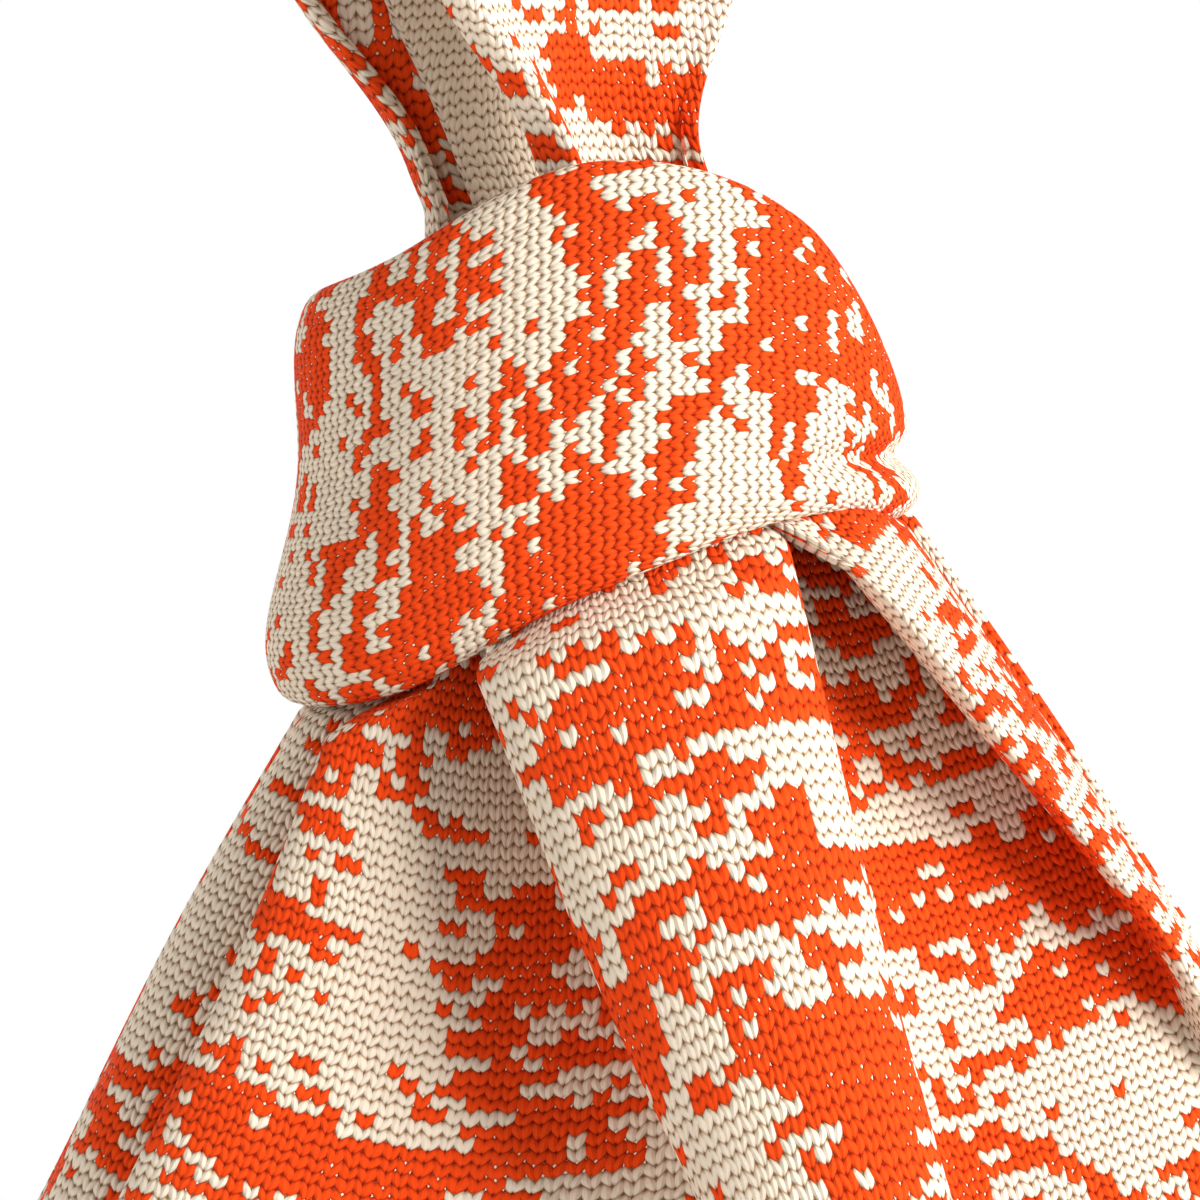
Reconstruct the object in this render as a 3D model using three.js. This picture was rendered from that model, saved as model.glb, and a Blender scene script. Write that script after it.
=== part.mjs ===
// Knot bag of thick two-colour jacquard knit. Its long loop is drawn through its short loop, which lies
// as a wide band round the gathered neck. Millimetres, +Z up, the front of the bag faces -Y, and the bag
// stands on z = 0.
import * as THREE from 'three';

// Cloth and seams
const knit = 3.0; // wall of the jacquard knit
const facing = 1.2; // wall of the plain inner layer
const clearance = 0.3; // space between neighbouring pieces
const seamRadius = 1.5; // round welt along a joining seam

// Body of the bag
const baseHalfWidth = 112;
const baseHalfDepth = 46;
const bellyHeight = 62;
const bellyHalfWidth = 150;
const bellyHalfDepth = 70;
const neckHeight = 215; // just under the short loop, where the folds are deepest
const neckHalfWidth = 65;
const neckHalfDepth = 42;

// Short loop, lying as a band round the neck, measured outside
const bandHalfWidth = 54.5;
const bandHalfDepth = 40;
const bandCentre = -14.5; // the band sits left of the middle of the bag
const bandSwell = 2.5; // how far the middle of the band stands out from its two edges

// Heights of the band's edges above neckHeight, from the right end round by the back, left and front
const bandTop = [50, 61, 70, 66, 72, 79, 95, 86];
const bandBottom = [38, 32, 18, 4, -0.5, 1.5, 20, 34.5];

// Long loop
const strapWidth = 68; // flat
const gatheredWidth = 30; // where it leaves the band
const loopCentre = -18;
const loopTurn = 37; // degrees that the loop is turned from front-to-back
const legSpread = 22; // from the middle of the loop to each leg, at the band
const hingeLift = 5; // the loop bends this far above the band's front, which can be pushed up
const loopRise = 177; // from the swing axis to the top
const loopBulge = 75; // how far the loop's curve is pulled out to each side
const loopLean = 18; // the loop stands this far to the left of its roots
const openLength = 42; // length over which the strap opens from gathered to flat
const swing = 18; // degrees that the loop swings to each side

const bandWall = knit + clearance + facing;
const innerHalfWidth = bandHalfWidth - bandSwell - bandWall;
const innerHalfDepth = bandHalfDepth - bandSwell - bandWall;
const hingeHeight = neckHeight + bandTop[6] + hingeLift;
const foldHem = neckHeight * 0.62;

// Rows of facets up a panel, closer together round the neck
const bodyRows = 9;
const neckRows = 13;
const panelRows = bodyRows + neckRows;
const panelColumns = 30;
const panelLow = knit + clearance;
const neckLow = neckHeight - 25;
const panelTop = hingeHeight - clearance / 2;
const neckStep = (panelTop - neckLow) / neckRows;

const jacquard = new THREE.MeshStandardMaterial({ color: 0xe06a40, roughness: 0.9, metalness: 0 });
const cream = new THREE.MeshStandardMaterial({ color: 0xe8decb, roughness: 0.95, metalness: 0 });

const radians = THREE.MathUtils.degToRad;
const mix = THREE.MathUtils.lerp;
const smooth = (low, high, x) => THREE.MathUtils.smoothstep(x, low, high);
const vec = (x, y, z) => new THREE.Vector3(x, y, z);

// Smooth curve through stations of [height, value]
function throughStations(stations, z) {
  const last = stations.length - 1;
  let i = 0;
  while (i < last - 1 && z > stations[i + 1][0]) i += 1;
  const slope = (k) => {
    const a = stations[Math.max(k - 1, 0)];
    const b = stations[Math.min(k + 1, last)];
    return (b[1] - a[1]) / (b[0] - a[0]);
  };
  const [z0, v0] = stations[i];
  const [z1, v1] = stations[i + 1];
  const t = THREE.MathUtils.clamp((z - z0) / (z1 - z0), 0, 1);
  const s = t * t * (3 - 2 * t);
  const run = z1 - z0;
  return mix(v0, v1, s) + run * t * (1 - t) * ((1 - t) * slope(i) - t * slope(i + 1));
}

const heel = bellyHeight * 0.35;
const bodyWidth = [
  [0, baseHalfWidth],
  [heel, mix(baseHalfWidth, bellyHalfWidth, 0.7)],
  [bellyHeight, bellyHalfWidth],
  [neckHeight, neckHalfWidth],
  [hingeHeight, neckHalfWidth * 0.6],
];
const bodyDepth = [
  [0, baseHalfDepth],
  [heel, mix(baseHalfDepth, bellyHalfDepth, 0.65)],
  [bellyHeight, bellyHalfDepth],
  [neckHeight, neckHalfDepth],
  [hingeHeight, neckHalfDepth * 0.66],
];

// Height of a band edge at an angle round the band, through its eight listed heights
function bandEdge(heights, angle) {
  const turn = THREE.MathUtils.euclideanModulo(angle / (2 * Math.PI), 1) * 8;
  const i = Math.floor(turn);
  const t = turn - i;
  const [a, b, c, d] = [7, 0, 1, 2].map((k) => heights[(i + k) % 8]);
  const bend = (2 * a - 5 * b + 4 * c - d) * t * t + (3 * b - a - 3 * c + d) * t * t * t;
  return neckHeight + b + 0.5 * ((c - a) * t + bend);
}

// Folds of a panel, one row to a control line along the cloth: how far right and how far out it lies at the
// hem of the folds, then the same at the neck, as shares of the body's half width and half depth there.
const frontFolds = [
  [-1, 0, -1, 0],
  [-0.97, 0.19, -1, 0.14],
  [-0.92, 0.41, -0.94, 0.29],
  [-0.84, 0.55, -0.85, 0.38],
  [-0.87, 0.72, -0.92, 0.57],
  [-0.75, 0.93, -0.8, 0.76],
  [-0.52, 1.05, -0.62, 0.86],
  [-0.21, 1.05, -0.43, 0.79],
  [0.02, 0.96, -0.37, 0.69],
  [0.04, 1.13, -0.42, 0.98],
  [0.14, 1.25, -0.18, 1.21],
  [0.29, 1.25, 0.12, 1.21],
  [0.42, 1.13, 0.4, 1],
  [0.46, 0.94, 0.43, 0.64],
  [0.57, 0.86, 0.51, 0.45],
  [0.75, 0.77, 0.66, 0.44],
  [0.89, 0.6, 0.78, 0.51],
  [0.97, 0.45, 0.85, 0.53],
  [1.02, 0.21, 0.95, 0.3],
  [1, 0, 1, 0],
];
const backFolds = [
  [1, 0, 1, 0],
  [1.02, 0.29, 0.94, 0.24],
  [0.93, 0.57, 0.85, 0.48],
  [0.83, 0.65, 0.77, 0.52],
  [0.71, 0.82, 0.68, 0.76],
  [0.57, 0.86, 0.51, 0.79],
  [0.41, 1.01, 0.37, 1],
  [0.25, 0.96, 0.2, 0.9],
  [0.09, 1.03, 0.05, 1.02],
  [-0.08, 0.98, -0.12, 0.9],
  [-0.26, 1.01, -0.31, 1.02],
  [-0.42, 0.87, -0.48, 0.83],
  [-0.58, 0.82, -0.65, 0.83],
  [-0.74, 0.62, -0.77, 0.6],
  [-0.88, 0.48, -0.89, 0.5],
  [-0.97, 0.26, -0.98, 0.26],
  [-1, 0, -1, 0],
];

const alongLoop = vec(-Math.sin(radians(loopTurn)), Math.cos(radians(loopTurn)), 0);
const acrossStrap = vec(alongLoop.y, -alongLoop.x, 0);

// Section of the long loop's strap: c runs from -1 to 1 over its width, open from 0 at the band to 1 where
// the strap lies flat. It has a rolled ridge near each edge and a trough between.
function strapSection(c, open) {
  const half = mix(gatheredWidth, strapWidth * 0.97, open) / 2;
  const bump = (at, width) => Math.exp(-(((c - at) / width) ** 2));
  const folds = bump(-0.66, 0.34) + 0.7 * bump(0.8, 0.3) - 0.9 * bump(0.08, 0.5);
  return {
    across: (half * Math.sin(1.35 * c)) / Math.sin(1.35),
    out: mix(4, 1.5, open) * folds - mix(2, 1.2, open) * c ** 8,
  };
}

// One control point of a panel at a height: on the body's oval round the belly, on its fold higher up, and
// drawn over to the strap's section above the neck.
function foldPoint(panel, k, z) {
  const [hemRight, hemOut, neckRight, neckOut] = panel.folds[k];
  const share = k / (panel.folds.length - 1);
  const even = Math.PI * (panel.front > 0 ? 1 - share : share);
  const angle = mix(Math.atan2(hemOut, hemRight), even, 0.6);
  const bent = (x) => Math.sign(x) * Math.abs(x) ** 0.86;
  const a = throughStations(bodyWidth, z);
  const b = throughStations(bodyDepth, z) * -panel.front;
  const t = THREE.MathUtils.clamp((z - foldHem) / (neckHeight - foldHem), -0.6, 1);
  const p = vec(a * bent(Math.cos(angle)), b * bent(Math.sin(angle)), z);
  const right = mix(hemRight * throughStations(bodyWidth, foldHem), neckRight * neckHalfWidth, t);
  p.lerp(vec(right, b * mix(hemOut, neckOut, t), z), smooth(foldHem * 0.3, foldHem * 1.04, z));
  p.x += bandCentre * smooth(neckHeight - 15, hingeHeight, z);
  const section = strapSection(panel.front * (2 * share - 1), 0);
  const leg = vec(loopCentre, 0, z).addScaledVector(alongLoop, -panel.front * (legSpread + section.out));
  leg.addScaledVector(acrossStrap, section.across);
  return p.lerp(leg, smooth(neckHeight + 14, hingeHeight - 14, z));
}

// Cloth inside the band stays within it, and spreads out again under its lower edge
function heldByBand(p) {
  const ex = (p.x - bandCentre) / innerHalfWidth;
  const ey = p.y / innerHalfDepth;
  const reach = Math.hypot(ex, ey);
  const below = Math.max(0, bandEdge(bandBottom, Math.atan2(ey, ex)) - 1.3 * neckStep - p.z);
  const most = 1 - (3 * clearance) / innerHalfDepth + (1.2 * below) / innerHalfWidth;
  const blend = Math.max(0.08 - Math.abs(reach - most), 0);
  const kept = Math.min(reach, most) - (blend * blend) / 0.32;
  p.x = bandCentre + ((p.x - bandCentre) * kept) / reach;
  p.y *= kept / reach;
  return p;
}

const front = { folds: frontFolds, front: 1 };
const back = { folds: backFolds, front: -1 };
front.other = back;
back.other = front;

// Point of a panel: s from 0 to 1 along the cloth, counterclockwise seen from above, at a height
function panelPoint(panel, s, z) {
  const last = panel.folds.length - 1;
  const i = Math.min(Math.floor(s * last), last - 1);
  const t = s * last - i;
  const parted = smooth(neckHeight - 10, neckHeight + 25, z);
  const control = (k) => {
    if (k >= 0 && k <= last) return foldPoint(panel, k, z);
    const edge = k < 0 ? 0 : last;
    const next = k < 0 ? 1 : last - 1;
    const across = foldPoint(panel.other, k < 0 ? panel.other.folds.length - 2 : 1, z);
    const straight = foldPoint(panel, edge, z).multiplyScalar(2).sub(foldPoint(panel, next, z));
    return across.lerp(straight, parted);
  };
  const weights = [
    (1 - t) ** 3,
    3 * t ** 3 - 6 * t * t + 4,
    -3 * t ** 3 + 3 * t * t + 3 * t + 1,
    t ** 3,
  ];
  const p = vec(0, 0, 0);
  weights.forEach((w, k) => p.addScaledVector(control(i - 1 + k), w / 6));
  return heldByBand(p);
}

// Grid of points with the direction that faces out of the cloth at each
function clothGrid(columns, rows, pointAt) {
  const points = [];
  for (let i = 0; i <= columns; i += 1) {
    points.push([]);
    for (let j = 0; j <= rows; j += 1) points[i].push(pointAt(i / columns, j / rows));
  }
  const outward = points.map((line, i) => line.map((_, j) => {
    const before = points[Math.max(i - 1, 0)][j];
    const after = points[Math.min(i + 1, columns)][j];
    const lower = line[Math.max(j - 1, 0)];
    const upper = line[Math.min(j + 1, rows)];
    return after.clone().sub(before).cross(upper.clone().sub(lower)).normalize();
  }));
  return { points, outward, columns, rows };
}

// Closed geometry from corner points and triangles, with its faces turned outward
function solid(corners, triangles) {
  const at = (k) => corners[k];
  const volume = triangles.reduce((sum, [a, b, c]) => sum + at(a).dot(at(b).clone().cross(at(c))), 0);
  const turned = volume > 0 ? triangles : triangles.map(([a, b, c]) => [a, c, b]);
  const geometry = new THREE.BufferGeometry().setFromPoints(corners);
  geometry.setIndex(turned.flat());
  geometry.computeVertexNormals();
  return geometry;
}

// Layer of cloth over a block of a grid, between two depths below the grid's surface
function layer(grid, near, far, block = {}) {
  const { left = 0, right = grid.columns, low = 0, high = grid.rows } = block;
  const rows = high - low + 1;
  const count = (right - left + 1) * rows;
  const corners = [];
  [near, far].forEach((depth) => {
    for (let i = left; i <= right; i += 1) {
      for (let j = low; j <= high; j += 1) {
        corners.push(grid.points[i][j].clone().addScaledVector(grid.outward[i][j], -depth));
      }
    }
  });
  const triangles = [];
  const quad = (a, b, c, d) => triangles.push([a, b, c], [a, c, d]);
  const id = (i, j) => (i - left) * rows + (j - low);
  for (let i = left; i < right; i += 1) {
    for (let j = low; j < high; j += 1) {
      quad(id(i, j), id(i + 1, j), id(i + 1, j + 1), id(i, j + 1));
      quad(count + id(i, j), count + id(i, j + 1), count + id(i + 1, j + 1), count + id(i + 1, j));
    }
    quad(id(i + 1, low), id(i, low), count + id(i, low), count + id(i + 1, low));
    quad(id(i, high), id(i + 1, high), count + id(i + 1, high), count + id(i, high));
  }
  for (let j = low; j < high; j += 1) {
    quad(id(left, j), id(left, j + 1), count + id(left, j + 1), count + id(left, j));
    quad(id(right, j + 1), id(right, j), count + id(right, j), count + id(right, j + 1));
  }
  return solid(corners, triangles);
}

// Round welt along a line of points, closed into a ring or with flat ends
function welt(line, radius, sideways, ring = false) {
  const sides = 8;
  const last = line.length - 1;
  const pick = (k) => line[ring ? (k + line.length) % line.length : Math.min(Math.max(k, 0), last)];
  const corners = [];
  line.forEach((p, k) => {
    const along = pick(k + 1).clone().sub(pick(k - 1)).normalize();
    const side = sideways.clone().cross(along).normalize();
    const up = along.clone().cross(side);
    for (let n = 0; n < sides; n += 1) {
      const angle = (2 * Math.PI * n) / sides;
      const offset = side.clone().multiplyScalar(Math.cos(angle)).addScaledVector(up, Math.sin(angle));
      corners.push(p.clone().addScaledVector(offset, radius));
    }
  });
  const triangles = [];
  for (let k = 0; k < (ring ? line.length : last); k += 1) {
    for (let n = 0; n < sides; n += 1) {
      const a = k * sides + n;
      const b = k * sides + ((n + 1) % sides);
      const c = ((k + 1) % line.length) * sides + ((n + 1) % sides);
      const d = ((k + 1) % line.length) * sides + n;
      triangles.push([a, b, c], [a, c, d]);
    }
  }
  for (let n = 1; n < sides - 1 && !ring; n += 1) {
    triangles.push([0, n + 1, n], [last * sides, last * sides + n, last * sides + n + 1]);
  }
  return solid(corners, triangles);
}

const bag = new THREE.Group();
bag.name = 'knot_bag';

function add(name, geometry, material) {
  const mesh = new THREE.Mesh(geometry, material);
  mesh.name = name;
  bag.add(mesh);
}

// Share of a panel's length that its edge keeps back from the side seam
function seamShare(panel, s, z) {
  const step = 0.004;
  const speed = panelPoint(panel, s, z).distanceTo(panelPoint(panel, Math.abs(s - step), z)) / step;
  return (seamRadius + clearance) / speed;
}

function rowHeight(row) {
  if (row < bodyRows) return mix(panelLow, neckLow, row / bodyRows);
  return neckLow + (row - bodyRows) * neckStep;
}

function panelGrid(panel) {
  return clothGrid(panelColumns, panelRows, (u, v) => {
    const z = rowHeight(v * panelRows);
    return panelPoint(panel, mix(seamShare(panel, 0, z), 1 - seamShare(panel, 1, z), u), z);
  });
}

const frontGrid = panelGrid(front);
const backGrid = panelGrid(back);
const rowBelow = (z) => bodyRows + Math.floor((z - neckLow) / neckStep);
const liningTop = rowBelow(neckHeight - 12);
const seamTop = rowBelow(neckHeight - 4);

add('front_panel', layer(frontGrid, 0, knit), jacquard);
add('back_panel', layer(backGrid, 0, knit), jacquard);
const liningNear = knit + clearance;
const liningFar = liningNear + facing;
add('front_lining', layer(frontGrid, liningNear, liningFar, { high: liningTop }), cream);
add('back_lining', layer(backGrid, liningNear, liningFar, { high: liningTop }), cream);

// Side seams, each down the middle of the wall between the two panels
function sideSeam(s) {
  const line = [];
  for (let j = 0; j <= seamTop; j += 1) {
    const p = panelPoint(front, s, rowHeight(Math.max(j, 0.15)));
    p.x -= (Math.sign(p.x) * knit) / 2;
    line.push(p);
  }
  return welt(line, seamRadius, vec(0, 1, 0));
}
add('left_side_seam', sideSeam(0), jacquard);
add('right_side_seam', sideSeam(1), jacquard);

// Flat oval of the base, drawn in from the lower edge of the panels by an inset
function baseOutline(inset, z) {
  return [frontGrid, backGrid].flatMap((grid) => grid.points.map((line, i) => {
    const out = grid.outward[i][0].clone().setZ(0).normalize();
    return line[0].clone().addScaledVector(out, -inset).setZ(z);
  }));
}

function basePlate(inset, low, thickness) {
  const shape = new THREE.Shape(baseOutline(inset, 0).map((p) => new THREE.Vector2(p.x, p.y)));
  const plate = new THREE.ExtrudeGeometry(shape, { depth: thickness, bevelEnabled: false });
  return plate.translate(0, 0, low);
}

const weltRadius = knit / 2 - 0.1;
const baseInset = 2 * weltRadius + clearance;
add('base_panel', basePlate(baseInset, 0, knit), jacquard);
add('base_seam', welt(baseOutline(weltRadius, knit / 2), weltRadius, vec(0, 0, 1), true), jacquard);
add('base_lining', basePlate(baseInset + 2 * knit, knit + clearance, facing), cream);

// Roots of the short loop, two strap ends on the back panel near the right side, below the band
const rootLow = bodyRows - 1;
const rootTop = rowBelow(neckHeight + bandBottom[1] - 8);
const rootBlock = { low: rootLow, high: rootTop };
const rootFar = -knit - clearance;
add('short_front_root', layer(backGrid, rootFar, -clearance, { ...rootBlock, left: 1, right: 3 }), jacquard);
add('short_back_root', layer(backGrid, rootFar, -clearance, { ...rootBlock, left: 4, right: 7 }), jacquard);

// Band of the short loop: v runs from its lower to its upper edge
function bandPoint(angle, v) {
  const swell = bandSwell * (1 - (2 * v - 1) ** 2) - bandSwell;
  const x = bandCentre + (bandHalfWidth + swell) * Math.cos(angle);
  const y = (bandHalfDepth + swell) * Math.sin(angle);
  return vec(x, y, mix(bandEdge(bandBottom, angle), bandEdge(bandTop, angle), v));
}

const joinAngle = radians(168);
const bandColumns = 20;
const bandRows = 4;
const joinSpeed = Math.hypot(bandHalfWidth * Math.sin(joinAngle), bandHalfDepth * Math.cos(joinAngle));
const joinShare = (seamRadius + 2 * clearance) / joinSpeed;
const rightShare = (4 * clearance) / bandHalfDepth;

function bandGrid(from, to) {
  return clothGrid(bandColumns, bandRows, (u, v) => bandPoint(mix(from, to, u), v));
}

const bandFront = bandGrid(joinAngle + joinShare, 2 * Math.PI - rightShare);
const bandBack = bandGrid(rightShare, joinAngle - joinShare);
const bandFacing = [knit + clearance, bandWall];
add('short_front_band', layer(bandFront, 0, knit), jacquard);
add('short_back_band', layer(bandBack, 0, knit), jacquard);
add('short_front_facing', layer(bandFront, ...bandFacing), cream);
add('short_back_facing', layer(bandBack, ...bandFacing), cream);
const joinLine = [0.06, 0.28, 0.5, 0.72, 0.94].map((v) => {
  const p = bandPoint(joinAngle, v);
  const inward = vec(bandCentre - p.x, -p.y, 0).normalize();
  return p.addScaledVector(inward, knit / 2);
});
add('short_join_seam', welt(joinLine, seamRadius, vec(0, 1, 0)), jacquard);

// Long loop: its middle line rises from the front leg to the top, and the back half mirrors it
const rise = new THREE.CubicBezierCurve(
  new THREE.Vector2(-legSpread, 0),
  new THREE.Vector2(-legSpread - 6, loopRise * 0.47),
  new THREE.Vector2(-loopBulge, loopRise),
  new THREE.Vector2(0, loopRise),
);
const halfLength = rise.getLength();

function loopPoint(half, c, length) {
  const share = THREE.MathUtils.clamp(length / halfLength, 0, 1);
  const middle = rise.getPointAt(share);
  const heading = rise.getTangentAt(share);
  const section = strapSection(c, smooth(0, openLength, length));
  const outAlong = -heading.y;
  const outUp = heading.x;
  const lean = -loopLean * (1 - Math.exp((-5 * middle.y) / loopRise));
  const p = vec(loopCentre, 0, hingeHeight + middle.y + section.out * outUp);
  p.addScaledVector(alongLoop, half * (middle.x + section.out * outAlong));
  return p.addScaledVector(acrossStrap, section.across + lean);
}

// The lower end of each leg rises to both sides of the swing axis, so that it clears the neck when it swings
// and the more so as the leg leans
function legGrid(half) {
  const slope = Math.tan(radians(swing + 5));
  const footSlope = slope / (1 - (slope * 5 * loopLean) / loopRise);
  const topEnd = halfLength - seamRadius - 2 * clearance;
  return clothGrid(12, 12, (u, v) => {
    const c = half * (2 * u - 1);
    const foot = clearance / 2 + Math.abs(strapSection(c, 0).across) * footSlope;
    return loopPoint(half, c, mix(foot, topEnd, v ** 1.25));
  });
}

const loopFront = legGrid(1);
const loopBack = legGrid(-1);
add('long_front_strap', layer(loopFront, 0, knit), jacquard);
add('long_back_strap', layer(loopBack, 0, knit), jacquard);
const facingNear = knit + 3 * clearance;
const loopFacing = (grid) => {
  const block = { left: 2, right: grid.columns - 2, low: 2 };
  return layer(grid, facingNear, facingNear + facing, block);
};
add('long_front_facing', loopFacing(loopFront), cream);
add('long_back_facing', loopFacing(loopBack), cream);
const topLine = [];
for (let k = 0; k <= 12; k += 1) {
  const p = loopPoint(1, 0.97 * (k / 6 - 1), halfLength);
  p.z -= knit / 2;
  topLine.push(p);
}
add('long_join_seam', welt(topLine, seamRadius, vec(0, 0, 1)), jacquard);

export default bag;
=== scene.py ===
"""Looks of a knot bag in thick two-colour jacquard knit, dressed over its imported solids.

The long loop is drawn through the short loop, which lies as a wide band round the gathered neck.
Shapes are worked out in millimetres and put into the meshes in metres. +Z is up and the front of the
bag faces -Y.
"""

import logging
import math
from dataclasses import dataclass
from enum import Enum, IntEnum

import bpy
import numpy as np
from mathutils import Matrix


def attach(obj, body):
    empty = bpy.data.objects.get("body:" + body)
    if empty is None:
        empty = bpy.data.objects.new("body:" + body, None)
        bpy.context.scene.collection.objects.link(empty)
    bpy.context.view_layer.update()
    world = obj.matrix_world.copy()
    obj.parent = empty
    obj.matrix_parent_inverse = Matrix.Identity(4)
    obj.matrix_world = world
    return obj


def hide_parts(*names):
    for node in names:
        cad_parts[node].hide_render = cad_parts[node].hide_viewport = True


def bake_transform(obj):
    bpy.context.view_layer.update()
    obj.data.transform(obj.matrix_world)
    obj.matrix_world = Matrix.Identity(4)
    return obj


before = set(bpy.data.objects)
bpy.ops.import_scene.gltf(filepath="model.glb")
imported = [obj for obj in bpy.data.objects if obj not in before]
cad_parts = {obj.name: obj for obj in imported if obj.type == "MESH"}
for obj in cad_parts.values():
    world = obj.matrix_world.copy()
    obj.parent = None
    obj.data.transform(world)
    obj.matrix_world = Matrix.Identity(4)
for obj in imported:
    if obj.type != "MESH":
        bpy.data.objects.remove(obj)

Array = np.ndarray
Triple = tuple[float, float, float]
LOG = logging.getLogger("knot_bag")
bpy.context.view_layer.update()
MM = 0.001
STITCH_MAP = "stitches"


class Slot(Enum):
    """Material slots of the record."""

    JACQUARD = "jacquard_knit"
    FACING = "cream_facing"


class Carrier(Enum):
    """Bodies of the frame that carry the pieces."""

    BAG = "bag"
    CINCH = "cinch"
    LOOP = "loop"


class Half(IntEnum):
    """Halves of the bag, as the sign that turns a front form into a back one."""

    FRONT = 1
    BACK = -1


def smooth(low: float, high: float, x: Array | float) -> Array:
    """Rises from 0 at low to 1 at high on the cubic 3t^2 - 2t^3."""
    t = np.clip((np.asarray(x, float) - low) / (high - low), 0.0, 1.0)
    return t * t * (3.0 - 2.0 * t)


def mix(a: Array | float, b: Array | float, t: Array | float) -> Array:
    """Straight blend from a at t = 0 to b at t = 1."""
    return a + (b - a) * t


def bell(x: Array | float, at: float, width: float) -> Array:
    """Round bump of height 1 at a place, exp of minus the squared distance in widths."""
    return np.exp(-(((np.asarray(x, float) - at) / width) ** 2))


def unit(v: Array) -> Array:
    """Vectors of length 1 along the last axis."""
    return v / np.maximum(np.linalg.norm(v, axis=-1, keepdims=True), 1e-9)


def facing_out(points: Array) -> Array:
    """Outward directions of a grid: the step along its first axis crossed with the step along its second."""
    return unit(np.cross(np.gradient(points, axis=0), np.gradient(points, axis=1)))


def through_stations(stations: list[tuple[float, float]], z: Array) -> Array:
    """Cubic curve through (height, value) stations with the slope at each taken from its neighbours.

    Past the first and last stations it runs on straight.

    Args:
        stations: heights and values, from the lowest up.
        z: heights to read the curve at.

    Returns:
        The values at those heights.
    """
    zs, vs = np.array(stations, float).T
    slope = np.empty_like(vs)
    slope[1:-1] = (vs[2:] - vs[:-2]) / (zs[2:] - zs[:-2])
    slope[0] = (vs[1] - vs[0]) / (zs[1] - zs[0])
    slope[-1] = (vs[-1] - vs[-2]) / (zs[-1] - zs[-2])
    i = np.clip(np.searchsorted(zs, z, side="left") - 1, 0, len(zs) - 2)
    run = zs[i + 1] - zs[i]
    t = np.clip((z - zs[i]) / run, 0.0, 1.0)
    past = slope[0] * np.minimum(z - zs[0], 0.0) + slope[-1] * np.maximum(z - zs[-1], 0.0)
    bend = run * t * (1 - t) * ((1 - t) * slope[i] - t * slope[i + 1])
    return mix(vs[i], vs[i + 1], smooth(0.0, 1.0, t)) + bend + past


def running_length(points: Array, axis: int) -> Array:
    """Length along a grid of points from its first line, summed over straight steps.

    Args:
        points: grid of points, coordinates last.
        axis: grid axis to run along.

    Returns:
        The length at every point of the grid.
    """
    steps = np.linalg.norm(np.diff(points, axis=axis), axis=-1)
    start = np.zeros_like(np.take(steps, [0], axis=axis))
    return np.concatenate([start, np.cumsum(steps, axis=axis)], axis=axis)


def closed_quads(count: int, rows: int, spare: int = 0) -> Array:
    """Quads of a grid that closes on itself along its first axis.

    Args:
        count: lines round the grid.
        rows: points on each line, numbered one line after another.
        spare: points left out at both ends of each line.

    Returns:
        Corner numbers of the quads, four to each.
    """
    k, j = np.meshgrid(np.arange(count), np.arange(spare, rows - 1 - spare), indexing="ij")
    far = (k + 1) % count
    quads = [k * rows + j, far * rows + j, far * rows + j + 1, k * rows + j + 1]
    return np.stack(quads, axis=-1).reshape(-1, 4)


def add_mesh(
    name: str,
    points: Array,
    faces: list[list[int]],
    uv: Array,
    slots: Array,
    materials: tuple[bpy.types.Material, ...],
) -> bpy.types.Object:
    """Puts points in millimetres and faces into a new smooth object with a stitch map.

    Args:
        name: object's name.
        points: corner points.
        faces: corners of each face.
        uv: stitch map, one pair to each corner of each face.
        slots: material number of each face.
        materials: the materials.

    Returns:
        The object.
    """
    mesh = bpy.data.meshes.new(name)
    mesh.from_pydata((points * MM).tolist(), [], faces)
    layer = mesh.uv_layers.new(name=STITCH_MAP)
    layer.data.foreach_set("uv", uv.astype(np.float32).ravel())
    for made in materials:
        mesh.materials.append(made)
    mesh.polygons.foreach_set("material_index", slots.astype(np.int32))
    mesh.polygons.foreach_set("use_smooth", np.ones(len(faces), bool))
    mesh.update()
    piece = bpy.data.objects.new(name, mesh)
    bpy.context.scene.collection.objects.link(piece)
    return piece


def enter(
    piece: bpy.types.Object, nodes: tuple[str, ...], carrier: Carrier | None = None
) -> None:
    """Hides the solids that a piece stands for, hangs it on its body, and reports it.

    Args:
        piece: finished piece.
        nodes: solids that it stands for.
        carrier: body that it rides on, or None to leave it on no body.
    """
    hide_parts(*nodes)
    if carrier is not None:
        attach(piece, carrier.value)
    LOG.info("made %s", piece.name)


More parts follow.
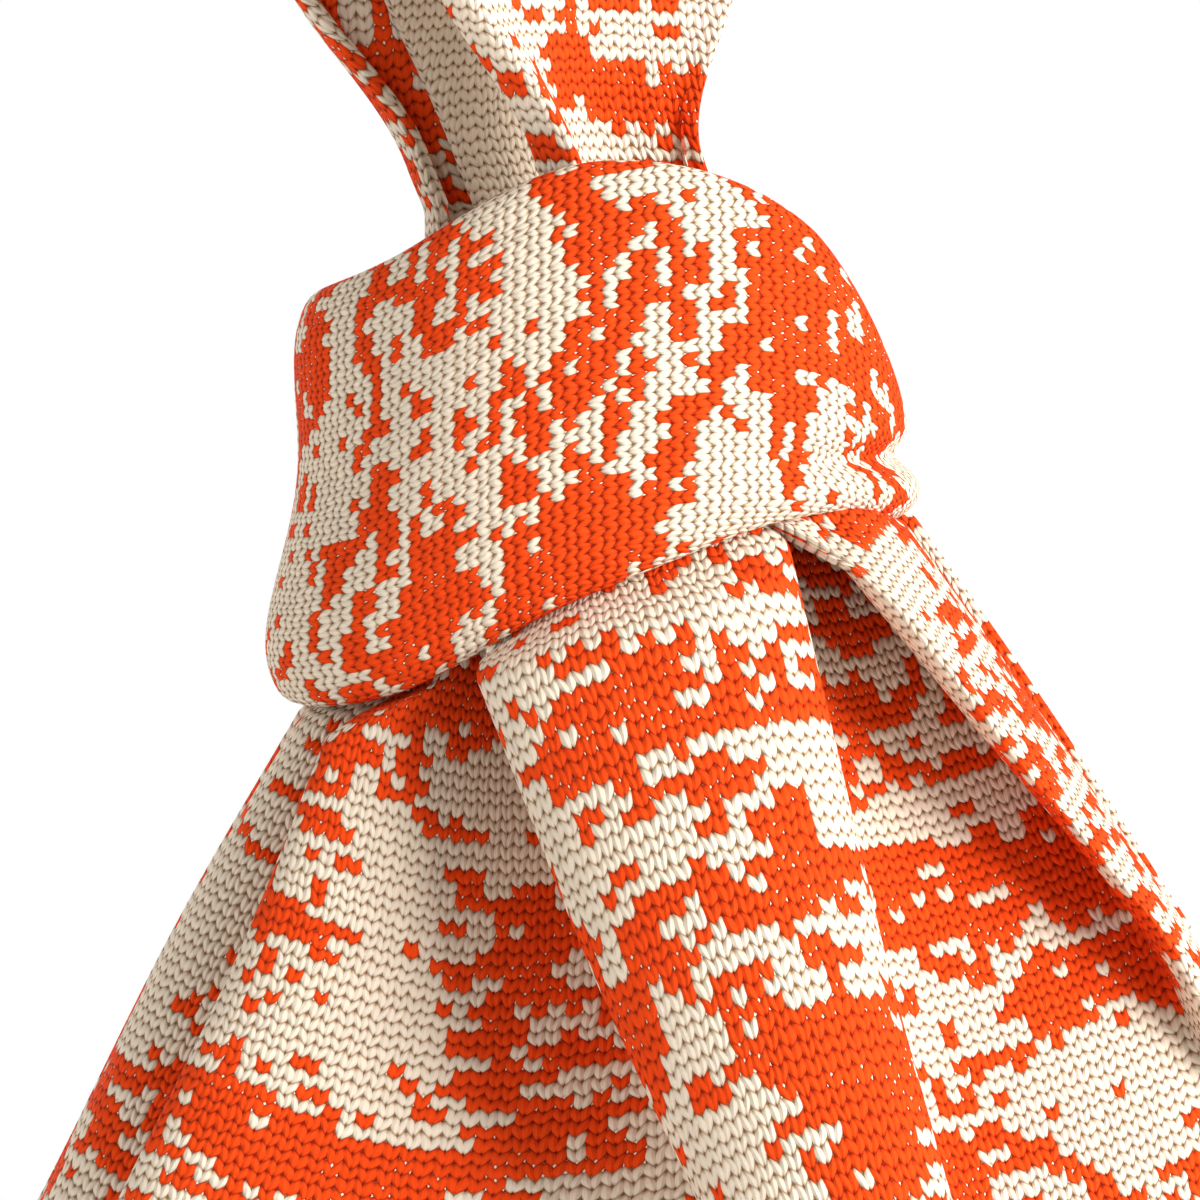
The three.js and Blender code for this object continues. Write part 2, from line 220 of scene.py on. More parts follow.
@dataclass(frozen=True)
class Band:
    """Form of the short loop where it lies round the neck, measured outside.

    tops and bottoms are heights of its edges above the neck at eight places, from the right end round by
    the back, left and front. sag draws the face in towards its edges, edge_roll rolls the edges in further,
    and front_roll takes some of that back at the upper front. flare lifts the lower left edge, and hollow
    sinks the face above it. bunch_ridge and bunch_groove, each (size, height, width), part the two rolls at
    the right end. ripple waves the face.

    The other values say how the band holds the cloth inside it, as shares of the inner oval: slack is its
    room, fill the cloth's most reach, and corner the rounding where the cloth meets that. Below the edge by
    spread_start, or higher by sooner_side or sooner_front, the reach grows by spread, less at the right and
    more at the front. bunch_fill is added at the right end over the depths of bunch_span. Cloth that is held
    lies up to layer apart, and layer_reach says how soon.
    """

    neck: float = 215.0
    half_width: float = 54.5
    half_depth: float = 40.0
    centre: float = -14.5
    wall: float = 6.0
    tops: tuple[float, ...] = (57, 61, 70, 66, 72, 79, 95, 86)
    bottoms: tuple[float, ...] = (28.5, 27, 18, 4, -0.5, 1.5, 20, 32)
    sag: float = 1.2
    edge_roll: float = 2.4
    front_roll: float = 1.4
    flare: float = 5.0
    hollow: float = 2.0
    bunch_ridge: Triple = (2.4, 251.5, 4.5)
    bunch_groove: Triple = (3.4, 258.5, 2.6)
    ripple: float = 0.7
    slack: float = 1.5
    fill: float = 0.93
    corner: float = 0.1
    spread_start: float = 3.0
    sooner_side: float = 6.0
    sooner_front: float = 5.0
    spread: float = 2.4
    less_right: float = 1.6
    more_front: float = 0.6
    bunch_fill: float = 0.22
    bunch_span: tuple[float, float] = (-7.0, -2.0)
    layer: float = 0.06
    layer_reach: float = 0.35

    def edge(self, heights: tuple[float, ...], angle: Array) -> Array:
        """Height of an edge: a closed cubic through the eight heights, an eighth of a turn apart.

        Args:
            heights: tops or bottoms.
            angle: angles round the band.

        Returns:
            Heights at the angles.
        """
        turn = np.mod(np.asarray(angle, float) / (2 * math.pi), 1.0) * 8
        i = np.floor(turn).astype(int)
        t = turn - i
        h = np.array(heights, float)
        a, b, c, d = (h[(i + k) % 8] for k in (7, 0, 1, 2))
        bend = (2 * a - 5 * b + 4 * c - d) * t**2 + (3 * b - a - 3 * c + d) * t**3
        return self.neck + b + 0.5 * ((c - a) * t + bend)

    def surface(self, angle: Array, across: Array) -> Array:
        """Outer face of the band.

        An upright oval whose height runs between the two edges. The face swells between its edges, rolls
        in at both of them, flares out at the lower left, and has a crease near the right end where the
        strap is bunched in two rolls.

        Args:
            angle: angle round the band.
            across: 0 at the lower edge to 1 at the upper edge.

        Returns:
            Points of the face.
        """
        low = self.edge(self.bottoms, angle) + self.wall / 2
        high = self.edge(self.tops, angle) - self.wall / 2
        z = mix(low, high, across)
        side = 2 * across - 1
        left = smooth(0.45, 1.0, -np.cos(angle))
        front = smooth(0.5, 0.95, -np.sin(angle)) * smooth(0.0, 1.0, side)
        right = smooth(0.35, 0.95, np.cos(angle)) * smooth(-0.2, 0.2, -np.sin(angle) + 0.15)
        roll = -self.sag * side**2 - (self.edge_roll - self.front_roll * front) * np.abs(side) ** 7
        flare = left * (self.flare * bell(across, 0.05, 0.3) - self.hollow * bell(across, 0.6, 0.25))
        rolls = (self.bunch_ridge, self.bunch_groove)
        ridge, groove = (size * bell(z, at, width) for size, at, width in rolls)
        ripple = self.ripple * np.sin(3.0 * angle + 1.3) * np.sin(math.pi * across)
        out = roll + flare + right * (ridge - groove) + ripple
        x = self.centre + (self.half_width + out) * np.cos(angle)
        y = (self.half_depth + out) * np.sin(angle)
        return np.stack([x, y, z], axis=-1)

    def hold(self, points: Array) -> Array:
        """Keeps cloth inside the band, and lets it spread out again under the band's lower edge.

        The reach of a point is its distance from the band's middle in units of the band's inner oval.
        It is held to a most that grows below the edge, with a rounded corner where the two meet, and cloth
        that was further out stays a little further out. At the left, where the band's edge flares out, and
        at the front the most grows from higher up, and at the right the band's bunched end lies on cloth
        that is hardly drawn in.

        Args:
            points: cloth to hold.

        Returns:
            The cloth, drawn in.
        """
        a, b = (half - self.wall - self.slack for half in (self.half_width, self.half_depth))
        ex, ey = (points[..., 0] - self.centre) / a, points[..., 1] / b
        reach = np.maximum(np.hypot(ex, ey), 1e-6)
        angle = np.arctan2(ey, ex)
        right = smooth(0.6, 0.85, np.cos(angle))
        front = smooth(0.3, 0.8, -np.sin(angle)) * (1 - right)
        beside = (smooth(0.1, 0.9, -np.cos(angle)) + right) * (1 - front)
        sooner = self.sooner_side * beside + self.sooner_front * front
        depth = self.edge(self.bottoms, angle) - points[..., 2]
        below = np.maximum(0.0, depth - self.spread_start + sooner)
        most = self.fill + (self.spread - self.less_right * right + self.more_front * front) * below / a
        most = most + self.bunch_fill * right * smooth(*self.bunch_span, depth)
        blend = np.maximum(self.corner - np.abs(reach - most), 0.0)
        layer = self.layer * (1 - np.exp(-np.maximum(reach - most, 0.0) / self.layer_reach))
        share = (np.minimum(reach, most) - blend**2 / (4 * self.corner) + layer) / reach
        held = points.copy()
        held[..., 0] = self.centre + (points[..., 0] - self.centre) * share
        held[..., 1] = points[..., 1] * share
        return held


@dataclass(frozen=True)
class Strap:
    """Form of the long loop's strap, gathered where it leaves the band and flat higher up.

    turn is the angle of the loop seen from above, spread the distance of each leg from its middle, and lean
    how far it tips to the left at the top. opens gives the lengths over which the strap opens from its
    gathered width to the share lying of its full width. folds are the section's ridges and its trough, each
    (height, place, width). relief scales them and hem turns the edges in, each where the strap is gathered
    and where it is open. bow rounds the section's spacing and tuck moves its left ridge inward.
    """

    width: float = 68.0
    gathered: float = 34.0
    lying: float = 0.97
    centre: float = -19.0
    turn: float = 37.0
    spread: float = 19.5
    rise: float = 190.0
    leg_rise: float = 0.47
    leg_flare: float = 1.0
    bulge: float = 75.0
    lean: float = 20.0
    lean_rate: float = 5.0
    opens: tuple[float, float] = (8.0, 44.0)
    hinge: float = 302.0
    folds: tuple[Triple, ...] = ((1.2, -0.74, 0.22), (0.8, 0.88, 0.17), (-1.05, 0.08, 0.46))
    relief: tuple[float, float] = (4.7, 3.0)
    hem: tuple[float, float] = (3.0, 2.0)
    bow: float = 1.35
    tuck: float = 0.1
    line_points: int = 600

    @property
    def along(self) -> Array:
        """Level direction from the front leg to the back leg."""
        turn = math.radians(self.turn)
        return np.array([-math.sin(turn), math.cos(turn), 0.0])

    @property
    def across(self) -> Array:
        """Level direction over the strap's width, to the right."""
        return np.array([self.along[1], -self.along[0], 0.0])

    def section(self, c: Array, opened: Array) -> tuple[Array, Array]:
        """Section of the strap: a rolled ridge near each edge and a trough between.

        Args:
            c: place over the width, from -1 to 1.
            opened: 0 where the strap is gathered to 1 where it lies flat.

        Returns:
            Distance across and distance outward.
        """
        half = mix(self.gathered, self.width * self.lying, opened) / 2
        folds = sum(height * bell(c, at, width) for height, at, width in self.folds)
        tuck = half * self.tuck * bell(c, -0.6, 0.3) * (1 - opened)
        across = half * np.sin(self.bow * c) / math.sin(self.bow) + tuck
        return across, mix(*self.relief, opened) * folds - mix(*self.hem, opened) * c**8

    def middle(self) -> tuple[Array, Array]:
        """Middle line of the front half from the swing axis to the top, a cubic Bezier curve.

        Returns:
            Lengths along the line, and its points as (out, up).
        """
        t = np.linspace(0.0, 1.0, self.line_points)[:, None]
        corners = np.array(
            [
                [-self.spread, 0.0],
                [-self.spread - self.leg_flare, self.rise * self.leg_rise],
                [-self.bulge, self.rise],
                [0.0, self.rise],
            ]
        )
        weights = ((1 - t) ** 3, 3 * (1 - t) ** 2 * t, 3 * (1 - t) * t**2, t**3)
        line = sum(weight * corner for weight, corner in zip(weights, corners))
        return running_length(line, 0), line

    @property
    def half_length(self) -> float:
        """Length of the middle line from the swing axis to the top."""
        return float(self.middle()[0][-1])

    def stand(self, level: Array, sway: Array, z: Array) -> Array:
        """Points from distances along and across the loop's level directions, and heights.

        Args:
            level: distance from the loop's middle towards the back leg.
            sway: distance to the right.
            z: heights.

        Returns:
            The points.
        """
        points = level[..., None] * self.along + sway[..., None] * self.across
        points[..., 0] += self.centre
        points[..., 2] = z
        return points

    def surface(self, half: Half, c: Array, length: Array) -> Array:
        """Outer face of one half of the loop above the swing axis.

        The section is carried along the middle line, square to it, and leans to the left as it rises.

        Args:
            half: front or back half.
            c: place over the width, from -1 to 1.
            length: length along the middle line from the swing axis.

        Returns:
            Points of the face.
        """
        lengths, line = self.middle()
        heading = unit(np.gradient(line, axis=0))
        out, up = (np.interp(length, lengths, line[:, k]) for k in (0, 1))
        run, climb = (np.interp(length, lengths, heading[:, k]) for k in (0, 1))
        across, bulge = self.section(c, smooth(*self.opens, length))
        sway = across - self.lean * (1 - np.exp(-self.lean_rate * up / self.rise))
        return self.stand(half * (out - bulge * climb), sway, self.hinge + up + bulge * run)

    def leg(self, half: Half, c: Array, z: Array) -> Array:
        """Upright root of a leg inside the band, on the gathered section."""
        across, bulge = self.section(c, np.zeros_like(z))
        return self.stand(-half * (self.spread + bulge), across, z)


FOLD_HEIGHTS = (133.0, 175.0, 215.0)

# Plan places (x, y) of each fold line at the three fold heights, from the left seam round the front
FRONT_FOLDS = (
    ((-109, 2), (-88, 3), (-65, 3)),
    ((-110, -14), (-89, -10), (-65, -7)),
    ((-103, -26), (-83, -19), (-62, -13)),
    ((-84, -27), (-64, -18), (-48, -12)),
    ((-80, -36), (-60, -26), (-45, -18)),
    ((-102, -43), (-81, -34), (-64, -26)),
    ((-86, -53), (-66, -43), (-52, -31)),
    ((-60, -49), (-47, -37), (-41, -27)),
    ((-26, -41), (-25, -26), (-28, -18)),
    ((6, -38), (-5, -22), (-17, -13)),
    ((12, -51), (-2, -42), (-20, -30)),
    ((1, -64), (-21, -56), (-37, -41)),
    ((12, -73), (-4, -67), (-21, -51)),
    ((26, -76), (13, -70), (1, -53)),
    ((40, -73), (27, -66), (17, -50)),
    ((49, -65), (38, -56), (29, -40)),
    ((40, -54), (28, -43), (19, -27)),
    ((52, -49), (40, -33), (28, -17)),
    ((72, -46), (56, -28), (40, -12)),
    ((92, -40), (78, -21), (58, -8)),
    ((98, -35), (82, -19.5), (54, -13)),
    ((103, -33), (80.5, -31), (46.5, -28)),
    ((107, -29), (85.5, -35.5), (52.5, -37)),
    ((111, -22), (89, -26), (58.5, -27)),
    ((114, -14), (90, -14), (62, -15)),
    ((117, -5), (89, -4), (63, -5)),
    ((117, 3), (89, 3), (62, 3)),
)
# The same for the back, from the right seam round to the left seam
BACK_FOLDS = (
    ((117, 3), (89, 3), (62, 3)),
    ((114, 17), (87, 14), (61, 10)),
    ((104, 33), (78, 28), (55, 20)),
    ((93, 38), (70, 28), (50, 22)),
    ((80, 48), (60, 40), (44, 32)),
    ((64, 50), (47, 42), (33, 33)),
    ((46, 59), (33, 53), (24, 42)),
    ((28, 56), (20, 47), (13, 38)),
    ((10, 60), (6, 54), (3, 43)),
    ((-9, 57), (-9, 48), (-8, 38)),
    ((-29, 59), (-25, 54), (-20, 43)),
    ((-47, 51), (-39, 43), (-31, 35)),
    ((-65, 48), (-54, 43), (-42, 35)),
    ((-83, 36), (-67, 31), (-50, 25)),
    ((-98, 28), (-79, 26), (-58, 21)),
    ((-108, 15), (-87, 14), (-64, 11)),
    ((-109, 2), (-88, 3), (-65, 3)),
)
FOLDS = {Half.FRONT: np.array(FRONT_FOLDS, float), Half.BACK: np.array(BACK_FOLDS, float)}


@dataclass(frozen=True)
class Stretch:
    """Stretch of cloth between two hidden folds, whose stitches are counted on their own.

    It ends at a last fold line and is counted from its own origin line, with its own width and height of
    stitch. drawn is how far its columns follow the fold lines as they draw together, from 0 to 1.
    """

    last: float
    origin: float
    wale: float
    course: float
    drawn: float = 0.5


STRETCHES = {
    Half.FRONT: (
        Stretch(3.6, 1.0, 2.6, 2.3),
        Stretch(9.6, 7.0, 2.62, 2.3),
        Stretch(16.0, 13.0, 2.85, 2.85),
        Stretch(20.2, 17.6, 2.6, 2.3),
        Stretch(26.0, 22.4, 2.6, 2.3, 0.2),
    ),
    Half.BACK: (Stretch(16.0, 8.0, 2.7, 2.4),),
}


@dataclass(frozen=True)
class Body:
    """Form of the bag's body: an oval that swells to a belly and is drawn into folds at the neck.

    base, belly and neck_size are half widths and half depths. heel is the share of the belly's height at
    which the share rounding of the swell is reached, and gather the share of the neck that is left at the
    top. Over the heights of drawing the oval turns into folds, and above parting the panels go their own
    ways, to be fully on the strap's section at strap_root below the swing axis. bend is the power that
    squares the oval.
    """

    band: Band
    strap: Strap
    base: tuple[float, float] = (112.0, 46.0)
    belly: tuple[float, float] = (150.0, 70.0)
    belly_height: float = 62.0
    heel: float = 0.35
    rounding: tuple[float, float] = (0.7, 0.65)
    neck_size: tuple[float, float] = (65.0, 42.0)
    gather: tuple[float, float] = (0.6, 0.66)
    drawing: tuple[float, float] = (40.0, 138.0)
    parting: tuple[float, float] = (252.0, 262.0)
    strap_root: float = 8.0
    bend: float = 0.86

    def oval(self, z: Array) -> tuple[Array, Array]:
        """Size of the body, on a cubic curve through its base, heel, belly, neck and top.

        Args:
            z: heights.

        Returns:
            Half widths and half depths at the heights.
        """
        sizes = []
        for k in (0, 1):
            stations = [
                (0.0, self.base[k]),
                (self.heel * self.belly_height, mix(self.base[k], self.belly[k], self.rounding[k])),
                (self.belly_height, self.belly[k]),
                (self.band.neck, self.neck_size[k]),
                (self.strap.hinge, self.neck_size[k] * self.gather[k]),
            ]
            sizes.append(through_stations(stations, z))
        return sizes[0], sizes[1]

    def bottom_angles(self, half: Half) -> Array:
        """Plan angles of a panel's lines on the oval below the folds, spread over its half turn.

        Args:
            half: front or back panel.

        Returns:
            The angles, in order round the body.
        """
        a, b = self.oval(np.array([FOLD_HEIGHTS[0]]))
        places = FOLDS[half][:, 0]
        quarter = half * math.pi / 2
        angles = np.arctan2(places[:, 1] / b, places[:, 0] / a) - quarter
        angles = np.sort(np.mod(angles, 2 * math.pi)) + quarter
        turn = (math.pi, 2 * math.pi) if half is Half.FRONT else (0.0, math.pi)
        share = (angles - angles[0]) / (angles[-1] - angles[0])
        return mix(turn[0], turn[1], share)

    def control(self, half: Half, z: Array) -> Array:
        """Control lines of a panel.

        Round the belly they lie on the oval. Higher up each runs along its fold, through the fold's
        places, and above the neck it is drawn over to the strap's gathered section.

        Args:
            half: front or back panel.
            z: heights of the points.

        Returns:
            Points of the lines, one line after another.
        """
        folds = FOLDS[half]
        a, b = self.oval(z)
        drawn = smooth(*self.drawing, z)[:, None]
        gathered = smooth(self.parting[0], self.strap.hinge - self.strap_root, z)[:, None]
        lines = []
        for k, (fold, angle) in enumerate(zip(folds, self.bottom_angles(half))):
            bent = [math.copysign(abs(w) ** self.bend, w) for w in (math.cos(angle), math.sin(angle))]
            low = np.stack([a * bent[0], b * bent[1]], axis=-1)
            paths = [through_stations(list(zip(FOLD_HEIGHTS, places)), z) for places in fold.T]
            points = np.concatenate([mix(low, np.stack(paths, axis=-1), drawn), z[:, None]], axis=-1)
            c = half * (2 * k / (len(folds) - 1) - 1)
            lines.append(mix(points, self.strap.leg(half, np.full_like(z, c), z), gathered))
        return np.stack(lines)

    def lines(self, half: Half, z: Array) -> Array:
        """All control lines of a panel, with one more past each edge.

        Below the parting the line past an edge is the other panel's next line, so the two panels run
        smoothly into each other at the side seam. Above it the edge runs on straight.

        Args:
            half: front or back panel.
            z: heights of the points.

        Returns:
            Points of the lines, one line after another.
        """
        own, other = self.control(half, z), self.control(Half(-half), z)
        parted = smooth(*self.parting, z)[:, None]
        before = mix(other[-2], 2 * own[0] - own[1], parted)
        after = mix(other[1], 2 * own[-1] - own[-2], parted)
        return np.concatenate([before[None], own, after[None]])

    def panel(self, half: Half, steps: int, z: Array) -> Array:
        """Outer face of a panel: a cubic B-spline over its control lines at each height, held by the band.

        Args:
            half: front or back panel.
            steps: points to each control line.
            z: heights of the rows.

        Returns:
            Grid of points, along the cloth and up.
        """
        lines = self.lines(half, z)
        spans = len(lines) - 3
        s = np.linspace(0.0, spans, spans * steps + 1)
        i = np.minimum(s.astype(int), spans - 1)
        t = (s - i)[:, None, None]
        weights = ((1 - t) ** 3, 3 * t**3 - 6 * t**2 + 4, -3 * t**3 + 3 * t**2 + 3 * t + 1, t**3)
        return self.band.hold(sum(w * lines[i + k] for k, w in enumerate(weights)) / 6)


class Term:
    """A number of a node tree that can be written in a formula."""

    def __init__(self, tree: bpy.types.NodeTree, socket: bpy.types.NodeSocket) -> None:
        """Wraps an output socket of a tree."""
        self.tree = tree
        self.socket = socket

    def op(self, operation: str, *others: "Term | float") -> "Term":
        """Adds a Math node on this number.

        Args:
            operation: the node's operation.
            others: up to two more numbers.

        Returns:
            The node's result.
        """
        node = self.tree.nodes.new("ShaderNodeMath")
        node.operation = operation
        self.tree.links.new(self.socket, node.inputs[0])
        for k, other in enumerate(others, start=1):
            if isinstance(other, Term):
                self.tree.links.new(other.socket, node.inputs[k])
            else:
                node.inputs[k].default_value = other
        return Term(self.tree, node.outputs[0])

    def __add__(self, other: "Term | float") -> "Term":
        """Sum."""
        return self.op("ADD", other)

    def __sub__(self, other: "Term | float") -> "Term":
        """Difference."""
        return self.op("SUBTRACT", other)

    def __mul__(self, other: "Term | float") -> "Term":
        """Product."""
        return self.op("MULTIPLY", other)

    def scaled(self, factor: float, shift: float) -> "Term":
        """Product with a number, plus a number."""
        return self.op("MULTIPLY_ADD", factor, shift)

    def ramp(self, factor: float, shift: float) -> "Term":
        """Product with a number, plus a number, kept from 0 to 1."""
        return self.scaled(factor, shift).op("MINIMUM", 1.0).op("MAXIMUM", 0.0)


@dataclass(frozen=True)
class Knit:
    """Finish of a knit face: two yarn colours, the blotch design, and the stitch's relief.

    cover is the noise level above which a stitch is knitted in the second yarn; None knits it plain. The
    design is noise of three sizes: blotch is the finest, in turns to a stitch over and along the cloth, and
    octaves gives each one's share of that and its weight. stray is how much chance plays in.

    deep and flank are painted shade: they darken the gaps between stitches and the flanks of the yarn, where
    the relief's own shadow falls, and the gap_shade_ramp and flank_shade_ramp of the stitch's height, each
    (factor, shift), say where. A stitch's leaf has a slant, a half width and a half length in stitches,
    narrows to its ends by a power, and its foot stands in front by lap. wander is the unevenness of the
    columns and rows, in stitches, with wander_rate turns to a stitch, and wander_apart keeps the two from
    going together. plies counts the yarn's plies over and along the leaf, ply_groove_shade gives painted
    shade in the grooves between them and ply_relief their height, and stitch_tone, as (change, least), the
    brightness from stitch to stitch, which differs at random.
    Where chance is over specks, the first yarn shows in the gaps of the second that are lower than
    speck_height.
    """

    name: str
    first: Triple
    second: Triple
    cover: float | None
    # Painted shade: brown that fills the gaps between stitches, where the knit's relief would be in shadow.
    painted_gap_shade: Triple = (0.30, 0.17, 0.09)
    # Painted shade on the flanks of each leaf, fading out towards its crown.
    painted_flank_shade: Triple = (0.74, 0.63, 0.53)
    gap_shade_ramp: tuple[float, float] = (3.2, -0.05)
    flank_shade_ramp: tuple[float, float] = (3.2, -1.25)
    relief: float = 0.75
    slant: float = 0.22
    half_width: float = 0.31
    half_length: float = 0.68
    narrowing: float = 0.85
    lap: float = 0.3
    wander: float = 0.36
    wander_rate: float = 0.7
    wander_apart: float = 50.0
    blotch: tuple[float, float] = (0.30, 0.52)
    octaves: tuple[tuple[float, float], ...] = ((1.0, 0.85), (0.42, 0.55), (0.16, 0.95))
    stray: float = 0.16
    plies: tuple[float, float] = (8.0, 3.0)
    # Painted shade in the grooves between the yarn's plies.
    ply_groove_shade: float = 0.03
    ply_relief: float = 0.04
    stitch_tone: tuple[float, float] = (0.08, 0.95)
    specks: float = 0.86
    speck_height: float = 0.04
    roughness: float = 0.82
    specular: float = 0.12

    def stitches(self, tree: bpy.types.NodeTree) -> dict[str, Term]:
        """Stitches of stocking stitch from the piece's stitch map.

        A stitch is two slanting leaves, mirrored about the middle of its column. A leaf narrows to a point
        at both ends, as a power of one minus the square of the place along it, and its section is an
        ellipse: its height is the root of that squared less the square of the place over it. It reaches
        into the rows above and below, so three rows are tried at each place and the highest leaf wins. A
        leaf's foot lies in front of the row below. Small holes are left at the top of each stitch and
        between the feet of two columns.

        Args:
            tree: node tree of the material.

        Returns:
            Height of the cloth, number of the column and row that the winning stitch is in, place over
            the leaf and place along it.
        """
        uv = tree.nodes.new("ShaderNodeUVMap")
        uv.uv_map = STITCH_MAP
        split = tree.nodes.new("ShaderNodeSeparateXYZ")
        tree.links.new(uv.outputs[0], split.inputs[0])
        u, v = Term(tree, split.outputs[0]), Term(tree, split.outputs[1])
        rates, sway = (self.wander_rate, self.wander_rate), (self.wander, -self.wander / 2)
        u = u + self.noise(tree, (u, v), rates, 0.0).scaled(*sway)
        v = v + self.noise(tree, (u, v.scaled(1.0, self.wander_apart)), rates, 0.0).scaled(*sway)
        column, row = u.op("FLOOR"), v.op("FLOOR")
        x = (u - column).scaled(1.0, -0.5).op("ABSOLUTE")
        y = v - row

        def over(along: Term) -> Term:
            """Place over a leaf, from its slanted middle line, in half widths."""
            return (x - along.scaled(self.slant, 0.25 - 0.5 * self.slant)) * (1 / self.half_width)

        def leaf(shift: float) -> Term:
            """Height of a leaf.

            Args:
                shift: rows by which its stitch is further up.

            Returns:
                The height, 0 outside it.
            """
            along = y.scaled(1.0, -shift)
            end = along.scaled(1 / self.half_length, -0.5 / self.half_length)
            body = (end * end).scaled(-1.0, 1.0).op("MAXIMUM", 0.0).op("POWER", self.narrowing)
            side = over(along)
            height = (body * body - side * side).op("MAXIMUM", 0.0).op("SQRT")
            return height + along.scaled(-self.lap, self.lap / 2) * height.op("GREATER_THAN", 0.0)

        here, up, down = leaf(0.0), leaf(1.0), leaf(-1.0)
        is_up = up.op("GREATER_THAN", here.op("MAXIMUM", down))
        is_down = down.op("GREATER_THAN", here.op("MAXIMUM", up))
        shift = is_up - is_down
        along = y - shift
        return {
            "height": here.op("MAXIMUM", up).op("MAXIMUM", down).op("MAXIMUM", 0.0),
            "column": column,
            "row": row + shift,
            "over": over(along),
            "along": along,
        }

    @staticmethod
    def join(tree: bpy.types.NodeTree, place: tuple[Term, Term]) -> bpy.types.NodeSocket:
        """Joins two numbers into a place on the cloth.

        Args:
            tree: node tree of the material.
            place: the numbers.

        Returns:
            Socket of the place.
        """
        node = tree.nodes.new("ShaderNodeCombineXYZ")
        for k in (0, 1):
            tree.links.new(place[k].socket, node.inputs[k])
        return node.outputs[0]

    def noise(
        self, tree: bpy.types.NodeTree, place: tuple[Term, Term], rates: tuple[float, float], detail: float
    ) -> Term:
        """Smooth noise read at a place on the cloth.

        Args:
            tree: node tree of the material.
            place: columns and rows.
            rates: turns of the noise to a stitch, over and along the cloth.
            detail: octaves of finer noise on top.

        Returns:
            The noise, from 0 to 1.
        """
        noise = tree.nodes.new("ShaderNodeTexNoise")
        noise.noise_dimensions = "2D"
        for name, value in (("Scale", 1.0), ("Detail", detail), ("Roughness", 0.6)):
            noise.inputs[name].default_value = value
        spread = (place[0] * rates[0], place[1] * rates[1])
        tree.links.new(self.join(tree, spread), noise.inputs["Vector"])
        return Term(tree, noise.outputs["Fac"])

    @staticmethod
    def blend(
        tree: bpy.types.NodeTree,
        kind: str,
        a: Triple | bpy.types.NodeSocket,
        b: Triple | bpy.types.NodeSocket,
        factor: Term | float,
    ) -> bpy.types.NodeSocket:
        """Adds a Mix node of two colours, each a fixed colour or a socket.

        Args:
            tree: node tree of the material.
            kind: way of mixing.
            a: first colour.
            b: second colour.
            factor: share of the second colour.

        Returns:
            Socket of the blended colour.
        """
        node = tree.nodes.new("ShaderNodeMix")
        node.data_type = "RGBA"
        node.blend_type = kind
        for name, colour in (("A", a), ("B", b)):
            if isinstance(colour, tuple):
                node.inputs[name].default_value = (*colour, 1.0)
            else:
                tree.links.new(colour, node.inputs[name])
        if isinstance(factor, Term):
            tree.links.new(factor.socket, node.inputs["Factor"])
        else:
            node.inputs["Factor"].default_value = factor
        return node.outputs["Result"]

    def design(self, tree: bpy.types.NodeTree, cell: tuple[Term, Term], chance: Term) -> Term | float:
        """Blotch design: noise of three sizes and a little chance, read at each stitch and cut at the cover.

        Args:
            tree: node tree of the material.
            cell: column and row of the stitch.
            chance: number from 0 to 1 for each stitch.

        Returns:
            1 where the stitch is in the second yarn, else 0.
        """
        if self.cover is None:
            return 0.0
        level = chance.scaled(self.stray, -0.5 * self.stray)
        for part, weight in self.octaves:
            rates = (self.blotch[0] * part, self.blotch[1] * part)
            level = level + self.noise(tree, cell, rates, 1.0).scaled(weight, -0.5 * weight)
        return level.op("GREATER_THAN", self.cover)

    def material(self) -> bpy.types.Material:
        """Material of the knit.

        Each stitch takes the first or second yarn from noise read at its column and row. Painted shade
        darkens the flanks of the leaves and, more strongly, the gaps between them, where the relief's own
        shadow falls. The colour varies a little at random from stitch to stitch, painted shade follows the
        grooves along the yarn's plies, and the leaves stand out as bumps. Through some of the gaps in the
        second yarn the first yarn shows from behind.

        Returns:
            The material.
        """
        made = bpy.data.materials.new(self.name)
        made.use_nodes = True
        made.diffuse_color = (*self.first, 1.0)
        tree = made.node_tree
        shader = tree.nodes["Principled BSDF"]
        shader.inputs["Roughness"].default_value = self.roughness
        shader.inputs["Specular IOR Level"].default_value = self.specular
        stitch = self.stitches(tree)
        height, cell = stitch["height"], (stitch["column"], stitch["row"])
        plies = (stitch["over"] * self.plies[0] + stitch["along"] * self.plies[1]).op("SINE")
        white = tree.nodes.new("ShaderNodeTexWhiteNoise")
        white.noise_dimensions = "2D"
        tree.links.new(self.join(tree, cell), white.inputs["Vector"])
        chance = Term(tree, white.outputs["Value"])
        design = self.design(tree, cell, chance)
        yarn = self.blend(tree, "MIX", self.first, self.second, design)
        # Painted shade: by their height, the flanks of the leaves are darkened, and the gaps between stitches
        # more strongly.
        painted_flank_shade = self.blend(tree, "MIX", self.painted_flank_shade, (1.0, 1.0, 1.0), height.ramp(*self.flank_shade_ramp))
        painted_stitch_shade = self.blend(tree, "MIX", self.painted_gap_shade, painted_flank_shade, height.ramp(*self.gap_shade_ramp))
        yarn_with_painted_shade = self.blend(tree, "MULTIPLY", yarn, painted_stitch_shade, 1.0)
        if isinstance(design, Term):
            speck = chance.op("GREATER_THAN", self.specks) * height.op("LESS_THAN", self.speck_height)
            yarn_with_painted_shade = self.blend(tree, "MIX", yarn_with_painted_shade, self.first, design * speck)
